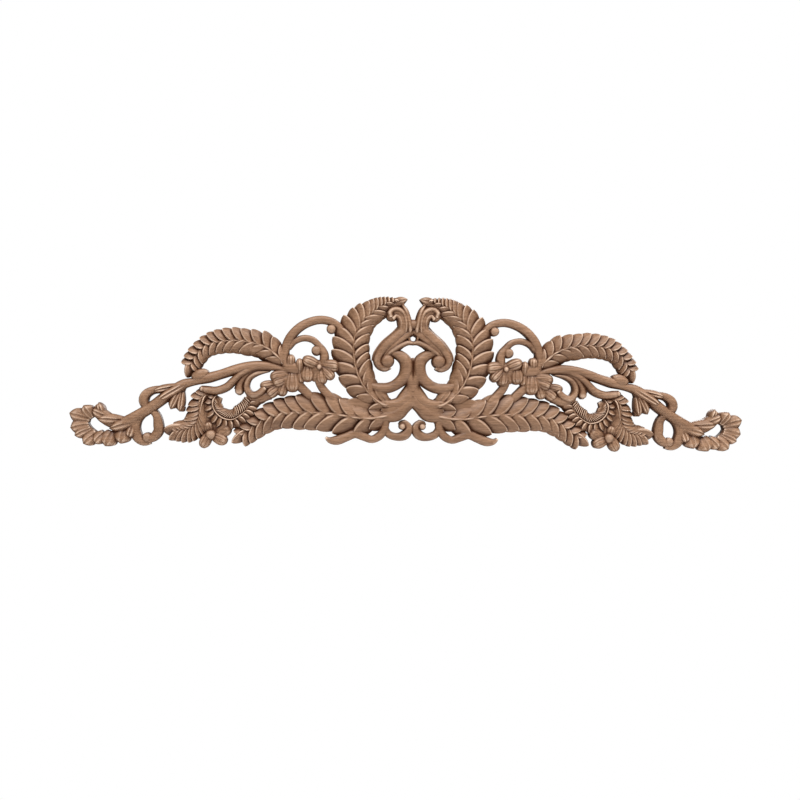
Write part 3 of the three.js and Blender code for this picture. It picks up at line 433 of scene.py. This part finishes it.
def domeMesh(name):
    rounds, rings = fineness["roundDome"], fineness["domeRings"]

    def ring(r, k):
        return 1 + (r - 1) * rounds + k % rounds

    vertices, faces = [(0, 0, 1)], []
    for r in range(1, rings + 1):
        reach, height = quarterRise(0, r / rings), quarterFall(r / rings) ** dome["full"]
        for k in range(rounds):
            a = 2 * math.pi * k / rounds
            vertices.append((reach * math.cos(a), reach * math.sin(a), height))
    faces += [(0, ring(1, k), ring(1, k + 1)) for k in range(rounds)]
    faces += [(ring(r, k), ring(r + 1, k), ring(r + 1, k + 1), ring(r, k + 1))
              for r in range(1, rings) for k in range(rounds)]
    under = len(vertices)
    vertices += [(x, y, -dome["wall"]) for x, y, _ in vertices[-rounds:]]
    faces += [(ring(rings, k), under + k, under + (k + 1) % rounds, ring(rings, k + 1))
              for k in range(rounds)]
    faces.append(tuple(under + k for k in reversed(range(rounds))))
    mesh = bpy.data.meshes.new(name)
    mesh.from_pydata(vertices, [], faces)
    return mesh


def placedPoints(name, places):  # points that carry their turn and size for the tree
    mesh = bpy.data.meshes.new(name)
    mesh.from_pydata([(x * mm, y * mm, relief["edge"] * mm) for (x, y), _, _ in places], [], [])
    turn = mesh.attributes.new("turn", "FLOAT_VECTOR", "POINT")
    size = mesh.attributes.new("size", "FLOAT_VECTOR", "POINT")
    for i, (_, angle, measure) in enumerate(places):
        turn.data[i].vector = (0, 0, angle)
        size.data[i].vector = [value * mm for value in measure]
    return keepAside(name, mesh, workshop)


def leafBetween(leaf, height):  # the place, turn and size of a leaf that runs from its base to its tip
    span = Vector(leaf["tip"]) - Vector(leaf["base"])
    return leaf["base"], math.atan2(span.y, span.x), (span.length, leaf["halfWidth"], height)


def rowOf(path, row, turn, height):  # the places of a row of leaflets; turn 1 leans left, -1 right
    places = []
    for i in range(row["count"]):
        share = i / (row["count"] - 1)
        crowded = share * (1 + row["crowding"]) - row["crowding"] * share ** row.get("easing", 4)
        root, heading = placeAlong(path, row["from"] + (row["to"] - row["from"]) * crowded)
        angle = math.atan2(heading.y, heading.x) + turn * math.radians(spread(row["angles"], share))
        places.append(((root.x, root.y), angle,
                       (spread(row["lengths"], share), spread(row["halfWidths"], share), height)))
    return places


strandBar = {  # the bar that a strand is swept from, for a half width of 1; thinnest is in mm
    "full": 0.9, "wall": 16, "thinnest": 0.4, "roundEndAt": (0.3, 0.55, 0.75, 0.9, 0.98),
}


def strandCurve(name, points, roundEnd):
    path = smoothPath(points)
    if roundEnd:
        end, heading = path[-1], path[-1] - path[-2]
        heading = Vector((heading.x, heading.y, 0)).normalized()
        for step in strandBar["roundEndAt"]:
            path.append(Vector((*(end + heading * end.z * step).xy, end.z * math.sqrt(1 - step ** 2))))
    curve = bpy.data.curves.new(name, "CURVE")
    curve.dimensions = "3D"
    curve.twist_mode = "Z_UP"
    spline = curve.splines.new("POLY")
    spline.points.add(len(path) - 1)
    for point, place in zip(spline.points, path):
        point.co = (place.x * mm, place.y * mm, relief["edge"] * mm, 1)
        point.radius = max(place.z, strandBar["thinnest"]) * mm
    return keepAside(name, curve, strandShelf)


def nodeIn(tree, kind, **settings):
    node = tree.nodes.new(kind)
    for key, value in settings.items():
        setattr(node, key, value)
    return node


def newTree(name, inputs):
    tree = bpy.data.node_groups.new(name, "GeometryNodeTree")
    sockets = {}
    for label, kind, value in inputs:
        socket = tree.interface.new_socket(label, in_out="INPUT", socket_type=kind)
        if value is not None:
            socket.default_value = value
        sockets[label] = socket.identifier
    tree.interface.new_socket("Geometry", in_out="OUTPUT", socket_type="NodeSocketGeometry")
    return tree, sockets, tree.nodes.new("NodeGroupInput"), tree.nodes.new("NodeGroupOutput")


def strandProfile():  # a rounded crown over upright sides
    curve = bpy.data.curves.new("strandProfile", "CURVE")
    curve.dimensions = "3D"
    spline = curve.splines.new("POLY")
    n = fineness["acrossStrand"]
    points = [(math.cos(math.pi * k / n), math.sin(math.pi * k / n) ** strandBar["full"] if 0 < k < n else 0)
              for k in range(n + 1)]
    points += [(-1, -strandBar["wall"]), (1, -strandBar["wall"])]
    spline.points.add(len(points) - 1)
    for point, (x, y) in zip(spline.points, points):
        point.co = (x, -y, 0, 1)
    spline.use_cyclic_u = True
    return keepAside("strandProfile", curve, workshop)


def strandTree():
    # Sweeps a rounded bar along the curve, as wide as its radius, and lifts or lowers its crown.
    tree, sockets, source, out = newTree("carvedStrand", [
        ("Geometry", "NodeSocketGeometry", None), ("Profile", "NodeSocketObject", None),
        ("Step", "NodeSocketFloat", fineness["alongStrand"] * mm), ("Crown", "NodeSocketFloat", 1.0),
        ("Edge", "NodeSocketFloat", relief["edge"] * mm)])
    link = tree.links.new
    resample = nodeIn(tree, "GeometryNodeResampleCurve", mode="LENGTH")
    profile = tree.nodes.new("GeometryNodeObjectInfo")
    sweep = tree.nodes.new("GeometryNodeCurveToMesh")
    sweep.inputs["Fill Caps"].default_value = True
    radius = tree.nodes.new("GeometryNodeInputRadius")
    link(source.outputs["Geometry"], resample.inputs["Curve"])
    link(source.outputs["Step"], resample.inputs["Length"])
    link(source.outputs["Profile"], profile.inputs["Object"])
    link(resample.outputs["Curve"], sweep.inputs["Curve"])
    link(profile.outputs["Geometry"], sweep.inputs["Profile Curve"])
    link(radius.outputs["Radius"], sweep.inputs["Scale"])
    # What stands above the edge is multiplied by Crown.
    position = tree.nodes.new("GeometryNodeInputPosition")
    parts = tree.nodes.new("ShaderNodeSeparateXYZ")
    above = nodeIn(tree, "ShaderNodeMath", operation="SUBTRACT")
    scaled = nodeIn(tree, "ShaderNodeMath", operation="MULTIPLY")
    less = nodeIn(tree, "ShaderNodeMath", operation="SUBTRACT")
    isAbove = nodeIn(tree, "ShaderNodeMath", operation="GREATER_THAN")
    lift = tree.nodes.new("ShaderNodeCombineXYZ")
    move = tree.nodes.new("GeometryNodeSetPosition")
    link(position.outputs[0], parts.inputs[0])
    link(parts.outputs["Z"], above.inputs[0])
    link(source.outputs["Edge"], above.inputs[1])
    link(source.outputs["Crown"], less.inputs[0])
    less.inputs[1].default_value = 1.0
    link(above.outputs[0], scaled.inputs[0])
    link(less.outputs[0], scaled.inputs[1])
    link(above.outputs[0], isAbove.inputs[0])
    isAbove.inputs[1].default_value = 0.0
    link(scaled.outputs[0], lift.inputs["Z"])
    link(sweep.outputs["Mesh"], move.inputs["Geometry"])
    link(isAbove.outputs[0], move.inputs["Selection"])
    link(lift.outputs[0], move.inputs["Offset"])
    outward = tree.nodes.new("GeometryNodeFlipFaces")
    link(move.outputs[0], outward.inputs[0])
    link(outward.outputs[0], out.inputs[0])
    return tree, sockets


def carvingTree():
    # Joins strands, leaflets, petals, lobes and domes into one solid, adds its mirror image and
    # stands both up.
    tree, sockets, source, out = newTree("carving", [
        ("Strands", "NodeSocketCollection", None),
        ("Left Leaflets", "NodeSocketObject", None), ("Left Leaflet", "NodeSocketObject", None),
        ("Right Leaflets", "NodeSocketObject", None), ("Right Leaflet", "NodeSocketObject", None),
        ("Petals", "NodeSocketObject", None), ("Petal", "NodeSocketObject", None),
        ("Lobes", "NodeSocketObject", None), ("Lobe", "NodeSocketObject", None),
        ("Domes", "NodeSocketObject", None), ("Dome", "NodeSocketObject", None),
        ("Wood", "NodeSocketMaterial", None)])
    link = tree.links.new
    joined = nodeIn(tree, "GeometryNodeMeshBoolean", operation="UNION", solver="MANIFOLD")
    pile = tree.nodes.new("GeometryNodeJoinGeometry")
    shelf = tree.nodes.new("GeometryNodeCollectionInfo")
    shelf.inputs["Separate Children"].default_value = True
    link(source.outputs["Strands"], shelf.inputs["Collection"])
    link(shelf.outputs[0], pile.inputs[0])
    for places, shape in (("Left Leaflets", "Left Leaflet"), ("Right Leaflets", "Right Leaflet"),
                          ("Petals", "Petal"), ("Lobes", "Lobe"), ("Domes", "Dome")):
        points = tree.nodes.new("GeometryNodeObjectInfo")
        pattern = tree.nodes.new("GeometryNodeObjectInfo")
        setOn = tree.nodes.new("GeometryNodeInstanceOnPoints")
        turn = nodeIn(tree, "GeometryNodeInputNamedAttribute", data_type="FLOAT_VECTOR")
        turn.inputs["Name"].default_value = "turn"
        size = nodeIn(tree, "GeometryNodeInputNamedAttribute", data_type="FLOAT_VECTOR")
        size.inputs["Name"].default_value = "size"
        toTurn = tree.nodes.new("FunctionNodeEulerToRotation")
        link(source.outputs[places], points.inputs["Object"])
        link(source.outputs[shape], pattern.inputs["Object"])
        link(points.outputs["Geometry"], setOn.inputs["Points"])
        link(pattern.outputs["Geometry"], setOn.inputs["Instance"])
        link(turn.outputs["Attribute"], toTurn.inputs[0])
        link(toTurn.outputs[0], setOn.inputs["Rotation"])
        link(size.outputs["Attribute"], setOn.inputs["Scale"])
        link(setOn.outputs[0], pile.inputs[0])
    link(pile.outputs[0], joined.inputs["Mesh 2"])
    mirror = tree.nodes.new("GeometryNodeTransform")
    mirror.inputs["Scale"].default_value = (-1, 1, 1)
    link(joined.outputs[0], mirror.inputs["Geometry"])
    turned = tree.nodes.new("GeometryNodeFlipFaces")
    link(mirror.outputs[0], turned.inputs[0])
    whole = nodeIn(tree, "GeometryNodeMeshBoolean", operation="UNION", solver="MANIFOLD")
    both = tree.nodes.new("GeometryNodeJoinGeometry")
    leftInstance = tree.nodes.new("GeometryNodeGeometryToInstance")
    rightInstance = tree.nodes.new("GeometryNodeGeometryToInstance")
    link(joined.outputs[0], leftInstance.inputs[0])
    link(turned.outputs[0], rightInstance.inputs[0])
    link(leftInstance.outputs[0], both.inputs[0])
    link(rightInstance.outputs[0], both.inputs[0])
    link(both.outputs[0], whole.inputs["Mesh 2"])
    stand = tree.nodes.new("GeometryNodeTransform")
    stand.inputs["Rotation"].default_value = (math.pi / 2, 0, 0)
    link(whole.outputs[0], stand.inputs["Geometry"])
    realize = tree.nodes.new("GeometryNodeRealizeInstances")
    coat = tree.nodes.new("GeometryNodeSetMaterial")
    link(stand.outputs[0], realize.inputs[0])
    link(realize.outputs[0], coat.inputs["Geometry"])
    link(source.outputs["Wood"], coat.inputs["Material"])
    link(coat.outputs[0], out.inputs[0])
    return tree, sockets


wood = {
    "pale": (0.345, 0.2, 0.12, 1), "middle": (0.21, 0.113, 0.062, 1), "dark": (0.096, 0.044, 0.021, 1),
    "figure": {"scale": (9, 60, 90), "detail": 3},  # broad figure of the board
    "grain": {"scale": (45, 700, 900), "detail": 4},  # fine lengthwise grain
    "pores": {"scale": (160, 2600, 2600), "detail": 2},  # short dark pores
    "grainShare": 0.55, "darkAt": 0.3, "middleAt": 0.5, "paleAt": 0.72,
    "noiseRoughness": 0.6, "roughness": 0.52, "specular": 0.3, "bump": 0.35, "bumpDepth": 0.0003,
    # The next two colours are painted light: a dark brown laid on recesses, creases and side walls as painted
    # shade, and a pale tan laid on rims and ridges as a painted highlight.
    "paintedShade": (0.06, 0.019, 0.006, 1), "paintedHighlight": (0.8, 0.59, 0.44, 1),
}
fades = {  # a reading's low and high end, and the strength of the colour at each
    # Pores are the wood's own; the other three paint light: a highlight on rims, and shade in recesses and on
    # side walls.
    "pores": (0.36, 0.44, 0.5, 0), "paintedHighlight": (0.14, 0.39, 0, 0.8), "paintedShade": (0.05, 0.36, 0, 0.97),
    "wall": (0.05, 0.72, 0.9, 0),
}


def woodMaterial():
    material = bpy.data.materials.new("carvedWood")
    material.use_nodes = True
    tree = material.node_tree
    tree.nodes.clear()
    link = tree.links.new
    out = tree.nodes.new("ShaderNodeOutputMaterial")
    shader = tree.nodes.new("ShaderNodeBsdfPrincipled")
    shader.inputs["Roughness"].default_value = wood["roughness"]
    shader.inputs["Specular IOR Level"].default_value = wood["specular"]
    place = tree.nodes.new("ShaderNodeTexCoord")

    def stretchedNoise(pattern):
        mapping = tree.nodes.new("ShaderNodeMapping")
        mapping.inputs["Scale"].default_value = wood[pattern]["scale"]
        noise = tree.nodes.new("ShaderNodeTexNoise")
        noise.inputs["Scale"].default_value = 1
        noise.inputs["Detail"].default_value = wood[pattern]["detail"]
        noise.inputs["Roughness"].default_value = wood["noiseRoughness"]
        link(place.outputs["Object"], mapping.inputs["Vector"])
        link(mapping.outputs["Vector"], noise.inputs["Vector"])
        return noise.outputs["Fac"]

    def kept(name):  # a measure that the mesh carries
        node = nodeIn(tree, "ShaderNodeAttribute", attribute_type="GEOMETRY", attribute_name=name)
        return node.outputs["Fac"]

    def tint(under, reading, fade, colour):  # lays a colour over another where the reading says
        mask = tree.nodes.new("ShaderNodeMapRange")
        for label, value in zip(("From Min", "From Max", "To Min", "To Max"), fades[fade]):
            mask.inputs[label].default_value = value
        link(reading, mask.inputs["Value"])
        mix = nodeIn(tree, "ShaderNodeMix", data_type="RGBA")
        link(mask.outputs["Result"], mix.inputs["Factor"])
        link(under, mix.inputs["A"])
        mix.inputs["B"].default_value = colour
        return mix.outputs["Result"]

    grain = stretchedNoise("grain")
    blend = tree.nodes.new("ShaderNodeMix")
    blend.inputs["Factor"].default_value = wood["grainShare"]
    link(stretchedNoise("figure"), blend.inputs["A"])
    link(grain, blend.inputs["B"])
    tone = tree.nodes.new("ShaderNodeValToRGB")
    ramp = tone.color_ramp.elements
    ramp[0].position, ramp[0].color = wood["darkAt"], wood["dark"]
    ramp[1].position, ramp[1].color = wood["paleAt"], wood["pale"]
    ramp.new(wood["middleAt"]).color = wood["middle"]
    link(blend.outputs["Result"], tone.inputs["Fac"])
    facing = tree.nodes.new("ShaderNodeSeparateXYZ")
    link(place.outputs["Normal"], facing.inputs[0])
    upright = nodeIn(tree, "ShaderNodeMath", operation="ABSOLUTE")  # 0 on a side wall
    link(facing.outputs["Y"], upright.inputs[0])
    colour = tint(tone.outputs["Color"], stretchedNoise("pores"), "pores", wood["dark"])
    # Painted highlight: lightens the colour along thin rims and ridges.
    colour = tint(colour, kept("paintedHighlight"), "paintedHighlight", wood["paintedHighlight"])
    # Painted shade: darkens the colour where the carving blocks its surroundings, in recesses and creases.
    colour = tint(colour, kept("paintedShade"), "paintedShade", wood["paintedShade"])
    # Painted shade: darkens side walls, which turn away from the front, with the same dark colour.
    colour = tint(colour, upright.outputs[0], "wall", wood["paintedShade"])
    link(colour, shader.inputs["Base Color"])
    bump = tree.nodes.new("ShaderNodeBump")
    bump.inputs["Strength"].default_value = wood["bump"]
    bump.inputs["Distance"].default_value = wood["bumpDepth"]
    link(grain, bump.inputs["Height"])
    link(bump.outputs["Normal"], shader.inputs["Normal"])
    link(shader.outputs["BSDF"], out.inputs["Surface"])
    return material


sweepTree, sweepSockets = strandTree()
barProfile = strandProfile()


def carveStrand(name, points, height, roundEnd=False):
    thing = strandCurve(name, points, roundEnd)
    modifier = thing.modifiers.new("carve", "NODES")
    modifier.node_group = sweepTree
    modifier[sweepSockets["Profile"]] = barProfile
    modifier[sweepSockets["Step"]] = fineness["alongStrand"] * mm
    modifier[sweepSockets["Crown"]] = height / max(half for _, _, half in points)
    modifier[sweepSockets["Edge"]] = relief["edge"] * mm


for name, strand in strands.items():
    carveStrand(name, strand["path"], relief[strand["crown"]], strand.get("roundEnd", False))

rib = {  # a feather's rib over its leaflets, how much a rib thins to its tip, and how thin it begins
    "raised": 1.25, "thins": 0.45, "begins": 0.3,
}
leftPlaces, rightPlaces = [], []
for name, frond in fronds.items():
    height = relief[frond["crown"]]
    path = smoothPath([(x, y, 0) for x, y in frond["midrib"]])
    leftPlaces += rowOf(path, frond["left"], 1, height)
    rightPlaces += rowOf(path, frond["right"], -1, height)
    ribHeight = relief["midrib"] if frond["crown"] == "leaf" else height * rib["raised"]
    count = len(frond["midrib"]) - 1
    carveStrand(name + "Rib", [
        (x, y, frond["ribWidth"] * (1 - rib["thins"] * i / count) * (1 if i else rib["begins"]))
        for i, (x, y) in enumerate(frond["midrib"])], ribHeight)
    if "tip" in frond:
        leftPlaces.append(leafBetween(frond["tip"], height))
lobePlaces = [leafBetween(lobe, relief[lobe.get("crown", "lobe")]) for lobe in lobes.values()]
petalPlaces = [leafBetween(petal, relief[petal["crown"]]) for petal in petals.values()]
domePlaces = [(bud["at"], math.radians(bud["turn"]), (*bud["half"], relief[bud["crown"]]))
              for bud in domes.values()]
print("laid out", len(strands), "strands,", len(leftPlaces) + len(rightPlaces), "leaflets,",
      len(lobes), "lobes,", len(petals), "petals,", len(domes), "domes")

carveTree, carveSockets = carvingTree()
holder = bpy.data.objects.new("carving", bpy.data.meshes.new("carvingHolder"))
scene.collection.objects.link(holder)
carve = holder.modifiers.new("carve", "NODES")
carve.node_group = carveTree
for label, value in (
        ("Strands", strandShelf),
        ("Left Leaflets", placedPoints("leftLeaflets", leftPlaces)),
        ("Left Leaflet", keepAside("leftLeaflet", leafletMesh("leftLeaflet", 1), workshop)),
        ("Right Leaflets", placedPoints("rightLeaflets", rightPlaces)),
        ("Right Leaflet", keepAside("rightLeaflet", leafletMesh("rightLeaflet", -1), workshop)),
        ("Petals", placedPoints("petals", petalPlaces)),
        ("Petal", keepAside("petal", bladeMesh("petal"), workshop)),
        ("Lobes", placedPoints("lobes", lobePlaces)),
        ("Lobe", keepAside("lobe", bladeMesh("lobe"), workshop)),
        ("Domes", placedPoints("domes", domePlaces)),
        ("Dome", keepAside("dome", domeMesh("dome"), workshop)),
        ("Wood", woodMaterial())):
    carve[carveSockets[label]] = value
bpy.context.view_layer.update()
carvedMesh = bpy.data.meshes.new_from_object(holder.evaluated_get(bpy.context.evaluated_depsgraph_get()))
carvedMesh.name = "carving"
bpy.data.objects.remove(holder)

finish = {
    "crease": 38,  # degrees, past which an edge is sharp
    "weld": 0.08, "pinch": 0.6, "pinchRounds": 3,  # mm, for slivers on the cut and for edges left open
    # The rays below measure where the material paints shade into recesses and a highlight along rims and
    # ridges.
    "rays": 20, "lift": 0.05,  # how many rays feel for wood, and how far off it they start
    "shadeReach": 9, "shadeFade": 0.6,  # how far they look outside, and how distance weakens what they meet
    "highlightDepth": 0.9, "highlightReach": 3,  # how deep the others start, and how many times that deep they look
    "sawnFrom": 0.5,  # a face that points back by this much is sawn, not carved
}


def closeCut(shape):  # fills the flat back of a sawn shape
    rim = [edge for edge in shape.edges if len(edge.link_faces) == 1]
    corners = list(dict.fromkeys(vertex for edge in rim for vertex in edge.verts))
    number = {vertex: i for i, vertex in enumerate(corners)}
    everyTriangle, near = 0, 1e-9
    spots, _, faces, origins, _, _ = delaunay_2d_cdt(
        [Vector((corner.co.x, corner.co.z)) for corner in corners],
        [tuple(number[vertex] for vertex in edge.verts) for edge in rim], [], everyTriangle, near)
    corners = [corners[origin[0]] if origin else shape.verts.new((spot.x, 0, spot.y))
               for spot, origin in zip(spots, origins)]
    carvedFront = BVHTree.FromBMesh(shape)
    for face in faces:
        a, b, c = (corners[k] for k in face)
        middle = (a.co + b.co + c.co) / 3
        if carvedFront.ray_cast(middle + Vector((0, mm, 0)), Vector((0, -1, 0)))[0] is None:
            continue  # an opening: no carved front lies before it
        outward = (b.co - a.co).cross(c.co - a.co).y > 0
        shape.faces.new((a, b, c) if outward else (a, c, b))
    bmesh.ops.delete(shape, geom=[vertex for vertex in shape.verts if not vertex.link_faces], context="VERTS")


def keepLargest(shape):  # crumbs that hang on nothing are dropped
    bodies, unseen = [], dict.fromkeys(shape.verts)
    while unseen:
        body = [unseen.popitem()[0]]
        for vertex in body:
            for edge in vertex.link_edges:
                other = edge.other_vert(vertex)
                if other in unseen:
                    del unseen[other]
                    body.append(other)
        bodies.append(body)
    bodies.sort(key=len)
    bmesh.ops.delete(shape, geom=[vertex for body in bodies[:-1] for vertex in body], context="VERTS")


def splitBigFaces(shape):  # leaves triangles and quads
    bmesh.ops.triangulate(shape, faces=[face for face in shape.faces if len(face.verts) > 4])


def flattenBack(mesh):  # saws off all that lies behind y = 0 and closes the cut
    shape = bmesh.new()
    shape.from_mesh(mesh)
    splitBigFaces(shape)
    onPlane = 1e-7
    bmesh.ops.bisect_plane(shape, geom=[*shape.verts, *shape.edges, *shape.faces], dist=onPlane,
                           plane_co=(0, 0, 0), plane_no=(0, 1, 0), clear_outer=True)
    cut = [vertex for vertex in shape.verts if abs(vertex.co.y) < onPlane]
    bmesh.ops.remove_doubles(shape, verts=cut, dist=finish["weld"] * mm)
    closeCut(shape)
    keepLargest(shape)
    for _ in range(finish["pinchRounds"]):
        gaps = [edge for edge in shape.edges
                if not edge.is_manifold and edge.calc_length() < finish["pinch"] * mm]
        bmesh.ops.collapse(shape, edges=gaps)
    splitBigFaces(shape)
    for face in shape.faces:
        face.smooth = True
    shape.to_mesh(mesh)
    openEdges = sum(1 for edge in shape.edges if not edge.is_manifold)
    shape.free()
    mesh.set_sharp_from_angle(angle=math.radians(finish["crease"]))
    print("back sawn flat,", openEdges, "open edges")


def markPaintedLight(mesh):
    # Keeps two measures at each corner of the carved front for the material: how much of its surroundings the
    # carving blocks, painted as shade in recesses and creases, and how thin the wood just under it is, which
    # is high along rims and ridges, painted there as a highlight.
    shape = bmesh.new()
    shape.from_mesh(mesh)
    tree = BVHTree.FromBMesh(shape)
    reach, count = finish["shadeReach"] * mm, finish["rays"]
    fan = []
    for k in range(count):
        lift = math.sqrt(1 - (k + 0.5) / count)
        turn = k * math.pi * (3 - math.sqrt(5))  # the golden angle spreads the rays evenly
        lean = math.sqrt(1 - lift * lift)
        fan.append(Vector((lean * math.cos(turn), lean * math.sin(turn), lift)))
    measures = []
    depth = finish["highlightDepth"] * mm
    farthest = finish["highlightReach"] * depth
    flat = sum(min(depth / ray.z, farthest) for ray in fan) / count  # what flat wood gives
    toward = Vector((0, 0, 1))
    for vertex in shape.verts:
        start = vertex.co + vertex.normal * finish["lift"] * mm
        turned = toward.rotation_difference(vertex.normal)
        within = vertex.co - vertex.normal * depth
        blocked, thickness = 0, 0
        for ray in fan:
            outward = turned @ ray
            hit = tree.ray_cast(start, outward, reach)
            if hit[0] is not None:
                blocked += 1 - finish["shadeFade"] * hit[3] / reach
            hit = tree.ray_cast(within, outward, farthest)
            thickness += farthest if hit[0] is None else hit[3]
        measures.append((blocked / count, max(0, 1 - thickness / count / flat)))
    shape.free()
    paintedShade = mesh.attributes.new("paintedShade", "FLOAT", "CORNER")
    paintedHighlight = mesh.attributes.new("paintedHighlight", "FLOAT", "CORNER")
    for face in mesh.polygons:
        if face.normal.y < finish["sawnFrom"]:  # the sawn back has neither
            for corner in face.loop_indices:
                paintedShade.data[corner].value, paintedHighlight.data[corner].value = measures[mesh.loops[corner].vertex_index]


flattenBack(carvedMesh)
markPaintedLight(carvedMesh)
carving = bpy.data.objects.new("carving", carvedMesh)
scene.collection.objects.link(carving)
print("carved", sum(len(p.vertices) - 2 for p in carvedMesh.polygons), "triangles")

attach(carving, "root")
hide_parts("carved_moulding")

room = {  # in metres; the sky lights the carving less than it shows
    "floorDrop": 0.42, "behind": 0.12, "size": 3.0, "white": 0.95,
    "sky": (1, 0.98, 0.96, 1), "ambient": 0.185,
}

floorMesh = bpy.data.meshes.new("floor")
floorMesh.from_pydata([(x, y, -room["floorDrop"]) for x, y in (
    (-room["size"] / 2, -room["size"]), (room["size"] / 2, -room["size"]),
    (room["size"] / 2, room["behind"]), (-room["size"] / 2, room["behind"]))], [], [(0, 1, 2, 3)])
floor = bpy.data.objects.new("floor", floorMesh)
scene.collection.objects.link(floor)
floorPaint = bpy.data.materials.new("paleFloor")
floorPaint.use_nodes = True
floorShader = floorPaint.node_tree.nodes["Principled BSDF"]
floorShader.inputs["Base Color"].default_value = (room["white"], room["white"], room["white"], 1)
floorShader.inputs["Roughness"].default_value = 1
floorMesh.materials.append(floorPaint)

world = bpy.data.worlds.new("studio")
scene.world = world
world.use_nodes = True
sky = world.node_tree
seen = sky.nodes["Background"]
seen.inputs["Color"].default_value = (1, 1, 1, 1)
seen.inputs["Strength"].default_value = 1.0
soft = sky.nodes.new("ShaderNodeBackground")
soft.inputs["Color"].default_value = room["sky"]
soft.inputs["Strength"].default_value = room["ambient"]
rays = sky.nodes.new("ShaderNodeLightPath")
choose = sky.nodes.new("ShaderNodeMixShader")
sky.links.new(rays.outputs["Is Camera Ray"], choose.inputs[0])
sky.links.new(soft.outputs[0], choose.inputs[1])
sky.links.new(seen.outputs[0], choose.inputs[2])
sky.links.new(choose.outputs[0], sky.nodes["World Output"].inputs["Surface"])

lights = {  # in metres and watts, each turned towards the middle of the carving
    "key": {"at": (-0.9, -2.1, 2.9), "size": 0.6, "power": 138},
    "top": {"at": (0.6, -0.4, 1.5), "size": 0.5, "power": 22},
    "fill": {"at": (1.2, -1.4, 0.2), "size": 1.2, "power": 6},
    "behind": {"at": (0.7, 1.4, 0.7), "size": 1, "power": 22},
}
for name, light in lights.items():
    data = bpy.data.lights.new(name, "AREA")
    data.size = light["size"]
    data.energy = light["power"]
    lamp = bpy.data.objects.new(name, data)
    lamp.location = light["at"]
    lamp.rotation_euler = (-Vector(light["at"])).to_track_quat("-Z", "Y").to_euler()
    scene.collection.objects.link(lamp)

# The camera's distance is in metres, its angles in degrees, its lens and what it aims at in mm.
view = {"distance": 1.004, "azimuth": -3.9, "roll": 0.67, "lens": 50.3, "sensor": 36.0, "aim": (-10.8, 0, 0)}
camera = bpy.data.objects.new("camera", bpy.data.cameras.new("camera"))
scene.collection.objects.link(camera)
camera.data.lens = view["lens"]
camera.data.sensor_width = view["sensor"]
turn = math.radians(view["azimuth"])
back = Vector((math.sin(turn), -math.cos(turn), 0))
aim = Vector(view["aim"]) * mm
camera.location = aim + back * view["distance"]
camera.rotation_euler = (back.to_track_quat("Z", "Y").to_matrix()
                         @ Matrix.Rotation(math.radians(view["roll"]), 3, "Z")).to_euler()
scene.camera = camera
scene.view_settings.view_transform = "Standard"
print("room lit and camera set")
